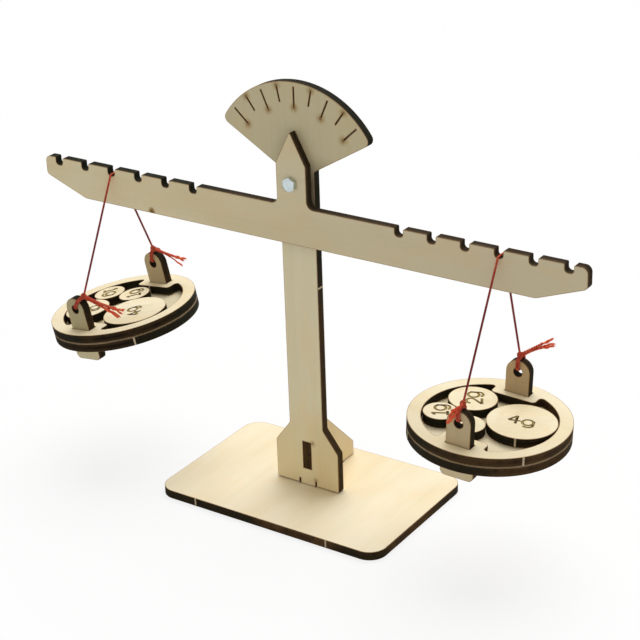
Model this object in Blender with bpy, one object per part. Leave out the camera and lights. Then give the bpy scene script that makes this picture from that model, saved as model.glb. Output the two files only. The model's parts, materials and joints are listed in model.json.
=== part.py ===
"""Math balance: a laser-cut plywood beam balance with two hanging pans and loose disc weights.

Metres, +Z up. X runs along the beam and the dial faces -Y.
The origin is on the table, under the middle of the base plate.
"""

from math import atan2, ceil, cos, pi, radians, sin, sqrt, tan

import bmesh
import bpy
from mathutils import Euler, Matrix, Vector

# Sheet stock, clearances and smoothness
PLY = 0.0050
SEAT_GAP = 0.0003
CUT_OVERRUN = 0.0010
WELD_DISTANCE = 0.00001
CORNER_STEP = radians(15)
CIRCLE_POINTS = 96
DISC_POINTS = 72
HOLE_POINTS = 32
SMOOTH_ANGLE = radians(35)

# Base plate
BASE_LENGTH = 0.1456
BASE_DEPTH = 0.0946
BASE_CORNER_RADIUS = 0.0102

# Upright: post, foot and dial are one plate
POST_WIDTH = 0.0220
FOOT_WIDTH = 0.0412
FOOT_SIDE_HEIGHT = 0.0242
FOOT_SHOULDER_RISE = 0.0128
FOOT_FILLET = 0.0030
FOOT_CORNER_RADIUS = 0.0008
TENON_WIDTH = 0.0098
RELIEF_WIDTH = 0.0009
RELIEF_HEIGHT = 0.0029
BRACE_SLOT_HEIGHT = 0.0170
BRACE_SLOT_ABOVE_BASE = 0.0102
PIVOT_ABOVE_BASE = 0.1820

# Dial sector, centred on the pivot
DIAL_RADIUS = 0.0534
DIAL_HALF_ANGLE = radians(59.5)
DIAL_TIP_RADIUS = 0.0034
DIAL_TIP_MARGIN_SHARE = 1.3
DIAL_ARC_STEP = radians(2.5)
DIAL_ROOT_FILLET = 0.0015
TICK_COUNT = 9
TICK_SPACING = radians(12)
TICK_FROM_RIM = 0.0025
LONG_TICK_LENGTH = 0.0106
SHORT_TICK_LENGTH = 0.0082
TICK_WIDTH = 0.00068

# Rear brace, a rib behind the post
BRACE_REACH = 0.0386
BRACE_HEIGHT = 0.0440
BRACE_TOE_HEIGHT = 0.0086
BRACE_TOP_LENGTH = 0.0030
BRACE_TOE_RADIUS = 0.0020
BRACE_TOP_RADIUS = 0.0010
BRACE_TENON_START = 0.0110
BRACE_TENON_LENGTH = 0.0160
BRACE_TAB_RECESS = 0.0005

# Beam with its neck, pointer and notches, one plate
BEAM_LENGTH = 0.3410
BEAM_HEIGHT = 0.0215
BEAM_TOP_BELOW_PIVOT = 0.0126
BEAM_END_HEIGHT = 0.0111
BEAM_TAPER_LENGTH = 0.0278
BEAM_END_TOP_RADIUS = 0.0034
BEAM_END_LOW_RADIUS = 0.0028
BEAM_BELLY_RADIUS = 0.0080
NECK_WIDTH = 0.0186
NECK_FILLET = 0.0040
NECK_SHOULDER_ABOVE_PIVOT = 0.0103
NECK_SHOULDER_RADIUS = 0.0010
POINTER_ABOVE_PIVOT = 0.0283
POINTER_TIP_RADIUS = 0.0006
NOTCH_COUNT = 6
HANGING_NOTCH = 3
LAST_NOTCH_FROM_END = 0.0100
NOTCH_PITCH = 0.01906
NOTCH_WIDTH = 0.0050
NOTCH_DEPTH = 0.0045
NOTCH_BOTTOM_RADIUS = 0.0020
NOTCH_LIP_RADIUS = 0.0006

# Pivot bolt and nut
BOLT_DIAMETER = 0.0040
BOLT_PAST_NUT = 0.0018
BOLT_RUNNING_GAP = 0.0003
HEX_ACROSS_FLATS = 0.0070
BOLT_HEAD_HEIGHT = 0.0028
NUT_HEIGHT = 0.0032
HEX_CHAMFER_ANGLE = radians(30)
HEX_FLAT_SHARE = 0.88
CHAMFER_POINTS = 64

# Pan: a floor disc under a ring with two lands
PAN_RADIUS = 0.0427
RING_WALL = 0.00725
LAND_WIDTH = 0.0256
LAND_EDGE_SHARE = 0.714
LAND_CORNER_RADIUS = 0.0023
LAND_ROOT_RADIUS = 0.0017
LAND_ROOT_MARGIN_SHARE = 2.0

# Lug: stands through floor and ring, its flange carries the floor
LUG_BEHIND_LAND_EDGE = 0.0074
LUG_WIDTH = 0.0136
LUG_HOLE_ABOVE_RING = 0.0124
LUG_HOLE_DIAMETER = 0.0052
FLANGE_OVERHANG = 0.0026
FLANGE_HEIGHT = 0.0082
FLANGE_CORNER_RADIUS = 0.0030
FLANGE_TOP_RADIUS = 0.0006

# Weights: discs of one sheet, so their area follows their mass, and a set fills the pan
ONE_GRAM_RADIUS_SHARE = 0.2595

# Cotton thread and its knots
THREAD_DIAMETER = 0.0013
THREAD_BEVEL_RESOLUTION = 2
THREAD_POINT_SPACING = 0.0036
THREAD_BEND_STEPS = 4
KNOT_RADIUS = 0.0018
KNOT_HEIGHT = 0.0032
KNOT_WRAP_RADIUS = 0.0013
KNOT_WRAP_TURNS = ((radians(28), radians(12)), (radians(-21), radians(75)))
KNOT_SEGMENTS = 12
KNOT_RINGS = 8
KNOT_LEAN_TO_MIDDLE = 0.0012
LOOP_END_SPREAD = 0.0009
TAIL_STEPS = 6
TAIL_ROOT_INSET = 0.0004
TAIL_ROOT_RISE = 0.0007

# How each pan hangs: depth of its hole line below the thread in the notch, drift and turns
LEFT_HANG_DEPTH = 0.0694
RIGHT_HANG_DEPTH = 0.0780
HANGERS = {
    "left": {
        "side": -1,
        "depth": LEFT_HANG_DEPTH,
        "drift_shares": (-0.0764, 0.0187),
        "lean": radians(4.0),
        "tilt": radians(-9.7),
        "yaw": radians(-5.0),
        "knot_turns": {"front": radians(26), "back": radians(0)},
    },
    "right": {
        "side": 1,
        "depth": RIGHT_HANG_DEPTH,
        "drift_shares": (-0.0564, -0.0077),
        "lean": radians(0.0),
        "tilt": radians(2.7),
        "yaw": radians(1.4),
        "knot_turns": {"front": radians(0), "back": radians(0)},
    },
}

# Loose ends of each knot: sideways reach, sideways drift and rise at the middle and at the tip
TAILS = {
    ("left", "front"): (
        ((0.0156, -0.0012, -0.0014), (0.0298, -0.0010, -0.0020)),
        ((0.0151, -0.0016, -0.0028), (0.0273, -0.0020, -0.0061)),
    ),
    ("left", "back"): (
        ((0.0107, 0.0010, -0.0018), (0.0226, 0.0012, -0.0025)),
        ((0.0097, 0.0012, -0.0028), (0.0197, 0.0016, -0.0075)),
    ),
    ("right", "front"): (
        ((-0.0007, -0.0052, -0.0022), (-0.0054, -0.0062, -0.0092)),
        ((-0.0008, -0.0046, -0.0005), (-0.0040, -0.0060, -0.0040)),
    ),
    ("right", "back"): (
        ((0.0096, 0.0012, 0.0073), (0.0179, 0.0020, 0.0131)),
        ((0.0093, 0.0014, 0.0056), (0.0185, 0.0022, 0.0091)),
    ),
}

# Where the weights lie on each pan, as shares of the ring's inner radius
WEIGHT_PLACE_SHARES = {
    "left": (
        ("weight_4g", 4, (0.430, -0.170)),
        ("weight_2g", 2, (-0.543, -0.300)),
        ("weight_1g_outer", 1, (-0.650, 0.333)),
        ("weight_1g_inner", 1, (-0.122, 0.393)),
    ),
    "right": (
        ("weight_4g", 4, (0.452, 0.130)),
        ("weight_2g", 2, (-0.468, 0.367)),
        ("weight_1g_outer", 1, (-0.688, -0.231)),
        ("weight_1g_inner", 1, (-0.175, -0.361)),
    ),
}

# Sizes worked out from those above
BASE_TOP = PLY
PIVOT_Z = BASE_TOP + PIVOT_ABOVE_BASE
POST_BACK = PLY / 2
BEAM_CENTRE_Y = -PLY - SEAT_GAP
BOLT_LENGTH = BOLT_RUNNING_GAP + 2 * PLY + 2 * SEAT_GAP + NUT_HEIGHT + BOLT_PAST_NUT
TICK_OUTER_RADIUS = DIAL_RADIUS - TICK_FROM_RIM
FIRST_NOTCH = BEAM_LENGTH / 2 - LAST_NOTCH_FROM_END - (NOTCH_COUNT - 1) * NOTCH_PITCH
BEAM_TOP_Z = PIVOT_Z - BEAM_TOP_BELOW_PIVOT
NOTCH_BOTTOM_Z = BEAM_TOP_Z - NOTCH_DEPTH
THREAD_RADIUS = THREAD_DIAMETER / 2
THREAD_STANDOFF = THREAD_RADIUS + SEAT_GAP
PAN_INNER_RADIUS = PAN_RADIUS - RING_WALL
LAND_EDGE_FROM_CENTRE = LAND_EDGE_SHARE * PAN_INNER_RADIUS
LUG_FROM_CENTRE = LAND_EDGE_FROM_CENTRE + LUG_BEHIND_LAND_EDGE
FLANGE_WIDTH = LUG_WIDTH + 2 * FLANGE_OVERHANG
ONE_GRAM_RADIUS = ONE_GRAM_RADIUS_SHARE * PAN_INNER_RADIUS
RING_TOP = -LUG_HOLE_ABOVE_RING
RING_MIDDLE = RING_TOP - PLY / 2
FLOOR_MIDDLE = RING_MIDDLE - PLY - SEAT_GAP
WEIGHT_MIDDLE = FLOOR_MIDDLE + PLY + SEAT_GAP
FLANGE_TOP = FLOOR_MIDDLE - PLY / 2 - SEAT_GAP
KNOT_FROM_HOLE = LUG_WIDTH / 2 + KNOT_HEIGHT / 2 + THREAD_RADIUS + SEAT_GAP

FACING_FRONT = Euler((radians(90), 0, 0))
FACING_SIDE = Euler((radians(90), 0, radians(90)))
LYING_FLAT = Euler((0, 0, 0))

# Scene and collections
for old in list(bpy.data.objects):
    bpy.data.objects.remove(old, do_unlink=True)

PARTS = bpy.data.collections.new("math_balance")
CUTTERS = bpy.data.collections.new("cutters")
for group in (PARTS, CUTTERS):
    bpy.context.scene.collection.children.link(group)


# Materials
def material(name, colour, roughness, metallic=0.0):
    made = bpy.data.materials.new(name)
    made.use_nodes = True
    shader = made.node_tree.nodes["Principled BSDF"]
    shader.inputs["Base Color"].default_value = (*colour, 1.0)
    shader.inputs["Roughness"].default_value = roughness
    shader.inputs["Metallic"].default_value = metallic
    made.diffuse_color = (*colour, 1.0)
    return made


BIRCH = material("birch_ply_face", (0.80, 0.68, 0.47), 0.62)
WEIGHT_BIRCH = material("weight_ply_face", (0.83, 0.72, 0.50), 0.58)
BURNT_EDGE = material("laser_burnt_edge", (0.030, 0.020, 0.013), 0.80)
ZINC = material("zinc_plated_steel", (0.62, 0.61, 0.58), 0.34, 1.0)
RED_COTTON = material("red_cotton_thread", (0.46, 0.035, 0.020), 0.88)


# Outlines
def arc_points(centre, radius, start, end, step):
    """Points on an arc, both ends included."""
    count = max(2, ceil(abs(end - start) / step) + 1)
    angles = [start + (end - start) * i / (count - 1) for i in range(count)]
    return [(centre[0] + radius * cos(a), centre[1] + radius * sin(a)) for a in angles]


def circle(centre, radius, points):
    angles = [2 * pi * i / points for i in range(points)]
    return [(centre[0] + radius * cos(a), centre[1] + radius * sin(a)) for a in angles]


def rounded(corners):
    """Closed outline through (x, y, radius) corners, each rounded by its own radius."""
    outline = []
    for i, (x, y, radius) in enumerate(corners):
        here = Vector((x, y))
        if radius == 0:
            outline.append((x, y))
            continue
        to_last = (Vector(corners[i - 1][:2]) - here).normalized()
        to_next = (Vector(corners[(i + 1) % len(corners)][:2]) - here).normalized()
        inside = to_last.angle(to_next)
        centre = here + (to_last + to_next).normalized() * (radius / sin(inside / 2))
        touch = radius / tan(inside / 2)
        first = here + to_last * touch - centre
        last = here + to_next * touch - centre
        start = atan2(first.y, first.x)
        turn = (atan2(last.y, last.x) - start + pi) % (2 * pi) - pi
        outline += arc_points(centre, radius, start, start + turn, CORNER_STEP)
    return outline


def rectangle(x_low, x_high, y_low, y_high, radius=0):
    return rounded([
        (x_low, y_low, radius),
        (x_high, y_low, radius),
        (x_high, y_high, radius),
        (x_low, y_high, radius),
    ])


def slot(centre_x, centre_y, width, height):
    """Hole for a piece of this width and height, with the seat gap all round."""
    reach_x = width / 2 + SEAT_GAP
    reach_y = height / 2 + SEAT_GAP
    return rectangle(centre_x - reach_x, centre_x + reach_x, centre_y - reach_y, centre_y + reach_y)


def mirrored(corners):
    """A right half of (x, y, radius) corners, bottom to top, closed by its mirror image."""
    left = [(-x, y, radius) for x, y, radius in reversed(corners) if x > 0]
    return corners + left


# Solids
def place(thing, parent=None, location=(0, 0, 0), rotation=LYING_FLAT, group=None):
    (group or PARTS).objects.link(thing)
    thing.parent = parent
    thing.location = location
    thing.rotation_euler = rotation
    if group is CUTTERS:
        thing.hide_render = True
        thing.display_type = "WIRE"
    return thing


def empty(name, location, parent=None, rotation=LYING_FLAT):
    made = bpy.data.objects.new(name, None)
    place(made, parent, location, rotation)
    return made


def welded_mesh(name, curve):
    """The curve's filled solid as one closed mesh, in the curve's own axes."""
    holder = bpy.data.objects.new(name, curve)
    bpy.context.scene.collection.objects.link(holder)
    bpy.context.view_layer.update()
    evaluated = holder.evaluated_get(bpy.context.evaluated_depsgraph_get())
    mesh = bpy.data.meshes.new_from_object(evaluated)
    mesh.name = name
    bpy.data.objects.remove(holder, do_unlink=True)
    work = bmesh.new()
    work.from_mesh(mesh)
    bmesh.ops.remove_doubles(work, verts=work.verts, dist=WELD_DISTANCE)
    bmesh.ops.recalc_face_normals(work, faces=work.faces)
    work.to_mesh(mesh)
    work.free()
    return mesh


def sheet_mesh(name, outlines, face_material=BIRCH):
    """A piece of ply cut to outlines, the first its rim and the rest its holes."""
    curve = bpy.data.curves.new(name, "CURVE")
    curve.dimensions = "2D"
    curve.fill_mode = "BOTH"
    curve.extrude = PLY / 2
    for outline in outlines:
        spline = curve.splines.new("POLY")
        spline.points.add(len(outline) - 1)
        for point, (x, y) in zip(spline.points, outline):
            point.co = (x, y, 0, 1)
        spline.use_cyclic_u = True
    mesh = welded_mesh(name, curve)
    mesh.materials.append(face_material)
    mesh.materials.append(BURNT_EDGE)
    for face in mesh.polygons:
        on_rim = abs(face.normal.z) < cos(SMOOTH_ANGLE)
        face.material_index = 1 if on_rim else 0
    mesh.shade_smooth()
    mesh.set_sharp_from_angle(angle=SMOOTH_ANGLE)
    return mesh


def sheet(name, outlines, location, rotation, parent=None, face_material=BIRCH):
    made = bpy.data.objects.new(name, sheet_mesh(name, outlines, face_material))
    return place(made, parent, location, rotation)


def boolean(thing, operation, other):
    modifier = thing.modifiers.new(operation.lower(), "BOOLEAN")
    modifier.operation = operation
    modifier.solver = "EXACT"
    if isinstance(other, bpy.types.Collection):
        modifier.operand_type = "COLLECTION"
        modifier.collection = other
    else:
        modifier.object = other


def cone(name, sides, bottom_radius, top_radius, height, matrix, group=CUTTERS, parent=None):
    """A cone, cylinder or prism standing on its matrix's XY plane."""
    work = bmesh.new()
    bmesh.ops.create_cone(
        work, cap_ends=True, segments=sides, radius1=bottom_radius, radius2=top_radius,
        depth=height, matrix=Matrix.Translation((0, 0, height / 2)))
    mesh = bpy.data.meshes.new(name)
    work.to_mesh(mesh)
    work.free()
    made = bpy.data.objects.new(name, mesh)
    place(made, parent, matrix.to_translation(), matrix.to_euler(), group)
    return made


# Stand
def base_plate():
    rim = rectangle(-BASE_LENGTH / 2, BASE_LENGTH / 2, -BASE_DEPTH / 2, BASE_DEPTH / 2,
                    BASE_CORNER_RADIUS)
    tenon_y = POST_BACK + SEAT_GAP + BRACE_TENON_START + BRACE_TENON_LENGTH / 2
    holes = [
        slot(0, 0, TENON_WIDTH, PLY),
        slot(0, tenon_y, PLY, BRACE_TENON_LENGTH),
    ]
    sheet("base_plate", [rim, *holes], (0, 0, PLY / 2), LYING_FLAT)


def tick(number):
    """Thin radial cut of the dial, long and short by turns, in axes at the pivot."""
    angle = (number - (TICK_COUNT - 1) / 2) * TICK_SPACING
    length = SHORT_TICK_LENGTH if number % 2 else LONG_TICK_LENGTH
    along = Vector((sin(angle), cos(angle)))
    across = Vector((cos(angle), -sin(angle))) * (TICK_WIDTH / 2)
    outer = along * TICK_OUTER_RADIUS
    inner = along * (TICK_OUTER_RADIUS - length)
    return [tuple(p) for p in (inner - across, outer - across, outer + across, inner + across)]


def upright():
    """Post, foot and dial, drawn in axes at the pivot."""
    foot_bottom = BASE_TOP + SEAT_GAP - PIVOT_Z
    tenon_bottom = SEAT_GAP - PIVOT_Z
    side_top = foot_bottom - SEAT_GAP + FOOT_SIDE_HEIGHT
    relief = TENON_WIDTH / 2 + RELIEF_WIDTH
    relief_top = foot_bottom + RELIEF_HEIGHT
    slope = pi / 2 - DIAL_HALF_ANGLE
    tip = (DIAL_RADIUS * sin(DIAL_HALF_ANGLE), DIAL_RADIUS * cos(DIAL_HALF_ANGLE))
    arc_margin = DIAL_TIP_MARGIN_SHARE * DIAL_TIP_RADIUS / DIAL_RADIUS
    arc = arc_points((0, 0), DIAL_RADIUS, slope + arc_margin, pi / 2, DIAL_ARC_STEP)
    half = [
        (TENON_WIDTH / 2, tenon_bottom, 0),
        (TENON_WIDTH / 2, relief_top, 0),
        (relief, relief_top, 0),
        (relief, foot_bottom, 0),
        (FOOT_WIDTH / 2, foot_bottom, FOOT_CORNER_RADIUS),
        (FOOT_WIDTH / 2, side_top, FOOT_FILLET),
        (POST_WIDTH / 2, side_top + FOOT_SHOULDER_RISE, FOOT_FILLET),
        (POST_WIDTH / 2, POST_WIDTH / 2 * tan(slope), DIAL_ROOT_FILLET),
        (*tip, DIAL_TIP_RADIUS),
        *[(x, y, 0) for x, y in arc[:-1]],
        (0, DIAL_RADIUS, 0),
    ]
    slot_middle = BASE_TOP + BRACE_SLOT_ABOVE_BASE + BRACE_SLOT_HEIGHT / 2 - PIVOT_Z
    holes = [
        slot(0, slot_middle, PLY, BRACE_SLOT_HEIGHT - 2 * SEAT_GAP),
        circle((0, 0), BOLT_DIAMETER / 2 + BOLT_RUNNING_GAP, HOLE_POINTS),
        *[tick(number) for number in range(TICK_COUNT)],
    ]
    sheet("upright_dial", [rounded(mirrored(half)), *holes], (0, 0, PIVOT_Z), FACING_FRONT)


def rear_brace():
    """Rib behind the post: its tab fills the post's slot, its tenon the base's."""
    foot = BASE_TOP + SEAT_GAP
    tenon_bottom = SEAT_GAP
    back = POST_BACK + SEAT_GAP
    tip = POST_BACK + BRACE_REACH
    tab_front = -POST_BACK + BRACE_TAB_RECESS
    tab_low = BASE_TOP + BRACE_SLOT_ABOVE_BASE + SEAT_GAP
    tab_high = tab_low + BRACE_SLOT_HEIGHT - 2 * SEAT_GAP
    tenon_start = back + BRACE_TENON_START
    tenon_end = tenon_start + BRACE_TENON_LENGTH
    outline = rounded([
        (back, foot, 0),
        (tenon_start, foot, 0),
        (tenon_start, tenon_bottom, 0),
        (tenon_end, tenon_bottom, 0),
        (tenon_end, foot, 0),
        (tip, foot, 0),
        (tip, BASE_TOP + BRACE_TOE_HEIGHT, BRACE_TOE_RADIUS),
        (back + BRACE_TOP_LENGTH, BASE_TOP + BRACE_HEIGHT, BRACE_TOP_RADIUS),
        (back, BASE_TOP + BRACE_HEIGHT, 0),
        (back, tab_high, 0),
        (tab_front, tab_high, 0),
        (tab_front, tab_low, 0),
        (back, tab_low, 0),
    ])
    sheet("rear_brace", [outline], (0, 0, 0), FACING_SIDE)


# Beam
def notch_x(number):
    return FIRST_NOTCH + number * NOTCH_PITCH


def beam(pivot):
    """Beam, neck and pointer, drawn in axes at the pivot."""
    top = -BEAM_TOP_BELOW_PIVOT
    bottom = top - BEAM_HEIGHT
    end = BEAM_LENGTH / 2
    half = [
        (end - BEAM_TAPER_LENGTH, bottom, BEAM_BELLY_RADIUS),
        (end, top - BEAM_END_HEIGHT, BEAM_END_LOW_RADIUS),
        (end, top, BEAM_END_TOP_RADIUS),
    ]
    for number in reversed(range(NOTCH_COUNT)):
        outer = notch_x(number) + NOTCH_WIDTH / 2
        inner = notch_x(number) - NOTCH_WIDTH / 2
        half += [
            (outer, top, NOTCH_LIP_RADIUS),
            (outer, top - NOTCH_DEPTH, NOTCH_BOTTOM_RADIUS),
            (inner, top - NOTCH_DEPTH, NOTCH_BOTTOM_RADIUS),
            (inner, top, NOTCH_LIP_RADIUS),
        ]
    half += [
        (NECK_WIDTH / 2, top, NECK_FILLET),
        (NECK_WIDTH / 2, NECK_SHOULDER_ABOVE_PIVOT, NECK_SHOULDER_RADIUS),
        (0, POINTER_ABOVE_PIVOT, POINTER_TIP_RADIUS),
    ]
    hole = circle((0, 0), BOLT_DIAMETER / 2 + BOLT_RUNNING_GAP, HOLE_POINTS)
    sheet("beam", [rounded(mirrored(half)), hole], (0, 0, 0), FACING_FRONT, pivot)


# Pivot bolt and nut
def hex_prism(name, height, matrix):
    radius = HEX_ACROSS_FLATS / sqrt(3)
    made = cone(name, 6, radius, radius, height, matrix, PARTS)
    made.data.materials.append(ZINC)
    return made


def chamfer(thing, height, matrix):
    """Rounds off the corners of a hexagon's far face with a wide cone."""
    top_radius = HEX_ACROSS_FLATS / 2 * HEX_FLAT_SHARE
    bottom_radius = top_radius + (height + CUT_OVERRUN) / tan(HEX_CHAMFER_ANGLE)
    start = matrix @ Matrix.Translation((0, 0, -CUT_OVERRUN))
    tool = cone(thing.name + "_chamfer", CHAMFER_POINTS, bottom_radius, top_radius,
                height + CUT_OVERRUN, start)
    boolean(thing, "INTERSECT", tool)


def pivot_bolt():
    head_seat = BEAM_CENTRE_Y - PLY / 2 - BOLT_RUNNING_GAP
    towards_front = Matrix.Translation((0, head_seat, PIVOT_Z)) @ Matrix.Rotation(pi / 2, 4, "X")
    bolt = hex_prism("pivot_bolt", BOLT_HEAD_HEIGHT, towards_front)
    chamfer(bolt, BOLT_HEAD_HEIGHT, towards_front)
    towards_back = Matrix.Translation((0, head_seat - CUT_OVERRUN, PIVOT_Z))
    towards_back @= Matrix.Rotation(-pi / 2, 4, "X")
    shank = cone("bolt_shank", HOLE_POINTS, BOLT_DIAMETER / 2, BOLT_DIAMETER / 2,
                 BOLT_LENGTH + CUT_OVERRUN, towards_back)
    boolean(bolt, "UNION", shank)


def pivot_nut():
    near = POST_BACK + SEAT_GAP
    towards_back = Matrix.Translation((0, near, PIVOT_Z)) @ Matrix.Rotation(-pi / 2, 4, "X")
    nut = hex_prism("pivot_nut", NUT_HEIGHT, towards_back)
    chamfer(nut, NUT_HEIGHT, towards_back)
    bore_start = towards_back @ Matrix.Translation((0, 0, -CUT_OVERRUN))
    bore_radius = BOLT_DIAMETER / 2 + SEAT_GAP
    bore = cone("nut_bore", HOLE_POINTS, bore_radius, bore_radius,
                NUT_HEIGHT + 2 * CUT_OVERRUN, bore_start)
    boolean(nut, "DIFFERENCE", bore)


# Pans
def lug_slots():
    return [slot(0, side * LUG_FROM_CENTRE, LUG_WIDTH, PLY) for side in (-1, 1)]


def ring_opening():
    """Inner edge of the ring: a circle that two square lands reach into."""
    root_x = LAND_WIDTH / 2
    root_y = sqrt(PAN_INNER_RADIUS ** 2 - root_x ** 2)
    root_angle = atan2(root_y, root_x)
    margin = LAND_ROOT_MARGIN_SHARE * LAND_ROOT_RADIUS / PAN_INNER_RADIUS
    corners = []
    for turn in (0, pi):
        flip = 1 if turn == 0 else -1
        side = arc_points((0, 0), PAN_INNER_RADIUS, turn - root_angle + margin,
                          turn + root_angle - margin, 2 * pi / CIRCLE_POINTS)
        corners += [(x, y, 0) for x, y in side]
        corners += [
            (flip * root_x, flip * root_y, LAND_ROOT_RADIUS),
            (flip * root_x, flip * LAND_EDGE_FROM_CENTRE, LAND_CORNER_RADIUS),
            (-flip * root_x, flip * LAND_EDGE_FROM_CENTRE, LAND_CORNER_RADIUS),
            (-flip * root_x, flip * root_y, LAND_ROOT_RADIUS),
        ]
    return rounded(corners)


def lug_mesh(name):
    """Lug with its flange, drawn in axes at its hole."""
    stem = LUG_WIDTH / 2
    flange = FLANGE_WIDTH / 2
    flange_bottom = FLANGE_TOP - FLANGE_HEIGHT
    crown = arc_points((0, 0), stem, 0, pi, CORNER_STEP)
    outline = [
        (-flange, flange_bottom, FLANGE_CORNER_RADIUS),
        (flange, flange_bottom, FLANGE_CORNER_RADIUS),
        (flange, FLANGE_TOP, FLANGE_TOP_RADIUS),
        (stem, FLANGE_TOP, 0),
        *[(x, y, 0) for x, y in crown],
        (-stem, FLANGE_TOP, 0),
        (-flange, FLANGE_TOP, FLANGE_TOP_RADIUS),
    ]
    hole = circle((0, 0), LUG_HOLE_DIAMETER / 2, HOLE_POINTS)
    return sheet_mesh(name, [rounded(outline), hole])


def pan(side, hole_line):
    rim = circle((0, 0), PAN_RADIUS, CIRCLE_POINTS)
    sheet(f"{side}_pan_floor", [rim, *lug_slots()], (0, 0, FLOOR_MIDDLE), LYING_FLAT, hole_line)
    sheet(f"{side}_pan_ring", [rim, ring_opening(), *lug_slots()], (0, 0, RING_MIDDLE),
          LYING_FLAT, hole_line)
    mesh = lug_mesh(f"{side}_lug")
    for end, direction in (("front", -1), ("back", 1)):
        lug = bpy.data.objects.new(f"{side}_{end}_lug", mesh)
        place(lug, hole_line, (0, direction * LUG_FROM_CENTRE, 0), FACING_FRONT)


def weights(side, hole_line):
    for name, grams, (share_x, share_y) in WEIGHT_PLACE_SHARES[side]:
        radius = ONE_GRAM_RADIUS * sqrt(grams)
        place_at = (share_x * PAN_INNER_RADIUS, share_y * PAN_INNER_RADIUS, WEIGHT_MIDDLE)
        sheet(f"{side}_{name}", [circle((0, 0), radius, DISC_POINTS)], place_at,
              LYING_FLAT, hole_line, WEIGHT_BIRCH)


# Threads
def spaced(route):
    """The route's points, with more along its long runs."""
    points = [route[0]]
    for last, this in zip(route, route[1:]):
        steps = max(1, round((this - last).length / THREAD_POINT_SPACING))
        points += [last.lerp(this, i / steps) for i in range(1, steps + 1)]
    return points


def tube(name, route, group=CUTTERS, parent=None):
    """Thread along the route, a closed round tube."""
    curve = bpy.data.curves.new(name, "CURVE")
    curve.dimensions = "3D"
    curve.bevel_depth = THREAD_RADIUS
    curve.bevel_resolution = THREAD_BEVEL_RESOLUTION
    curve.use_fill_caps = True
    spline = curve.splines.new("POLY")
    spline.points.add(len(route) - 1)
    for point, place_at in zip(spline.points, route):
        point.co = (*place_at, 1)
    made = bpy.data.objects.new(name, welded_mesh(name, curve))
    made.data.materials.append(RED_COTTON)
    return place(made, parent, group=group)


def bend(corner, start, end):
    """Round an edge at the thread's standoff, from one direction off it to another."""
    points = []
    for i in range(THREAD_BEND_STEPS + 1):
        towards = start.slerp(end, i / THREAD_BEND_STEPS)
        points.append(corner + towards * THREAD_STANDOFF)
    return points


def square_to(direction, along):
    """Unit vector square to direction, leaning the way of along."""
    return (along - direction * along.dot(direction)).normalized()


def knot(name, centre, up, parent):
    """Small overhand knot: a round core with two slanted wraps."""
    made = []
    turn = up.to_track_quat("Z", "Y").to_matrix().to_4x4()
    work = bmesh.new()
    bmesh.ops.create_uvsphere(work, u_segments=KNOT_SEGMENTS, v_segments=KNOT_RINGS, radius=1)
    size = Matrix.Diagonal((KNOT_RADIUS, KNOT_RADIUS, KNOT_HEIGHT / 2, 1))
    bmesh.ops.transform(work, matrix=turn @ size, verts=work.verts)
    mesh = bpy.data.meshes.new(name)
    work.to_mesh(mesh)
    work.free()
    made.append(place(bpy.data.objects.new(name, mesh), parent, centre, group=CUTTERS))
    for number, (tilt, spin) in enumerate(KNOT_WRAP_TURNS):
        lean = turn @ Matrix.Rotation(spin, 4, "Z") @ Matrix.Rotation(tilt, 4, "X")
        bpy.ops.mesh.primitive_torus_add(
            major_segments=KNOT_SEGMENTS, minor_segments=KNOT_RINGS,
            major_radius=KNOT_WRAP_RADIUS, minor_radius=THREAD_RADIUS)
        wrap = bpy.context.object
        wrap.name = f"{name}_wrap_{number}"
        for owner in list(wrap.users_collection):
            owner.objects.unlink(wrap)
        made.append(place(wrap, parent, centre, lean.to_euler(), CUTTERS))
    return made


def lug_loop(hole, inward, up, knot_at):
    """Round the lug's head: down its outer face, through its hole and up its inner face."""
    face = PLY / 2
    crown = LUG_WIDTH / 2
    hole_top = LUG_HOLE_DIAMETER / 2
    outer_edge = hole - inward * face
    inner_edge = hole + inward * face
    route = [knot_at - inward * LOOP_END_SPREAD]
    route += bend(outer_edge + up * crown, up, -inward)
    route += bend(outer_edge + up * hole_top, -inward, -up)
    route += bend(inner_edge + up * hole_top, -up, inward)
    route += bend(inner_edge + up * crown, inward, up)
    route.append(knot_at + inward * LOOP_END_SPREAD)
    return route


def tail(knot_at, number, middle, tip):
    """Loose end: a smooth arc from the knot through its middle to its tip."""
    middle = knot_at + Vector(middle)
    tip = knot_at + Vector(tip)
    rise = TAIL_ROOT_RISE * (1 - 2 * number)
    root = knot_at + (middle - knot_at).normalized() * TAIL_ROOT_INSET + Vector((0, 0, rise))
    bow = 2 * middle - (root + tip) / 2
    points = []
    for i in range(TAIL_STEPS + 1):
        t = i / TAIL_STEPS
        points.append(root * (1 - t) ** 2 + bow * 2 * t * (1 - t) + tip * t ** 2)
    return points


def hole_line_offset(hanger):
    """From the thread in the notch to the middle of the pan's hole line."""
    drift_x, drift_y = hanger["drift_shares"]
    return Vector((drift_x, drift_y, -1)) * hanger["depth"]


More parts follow.
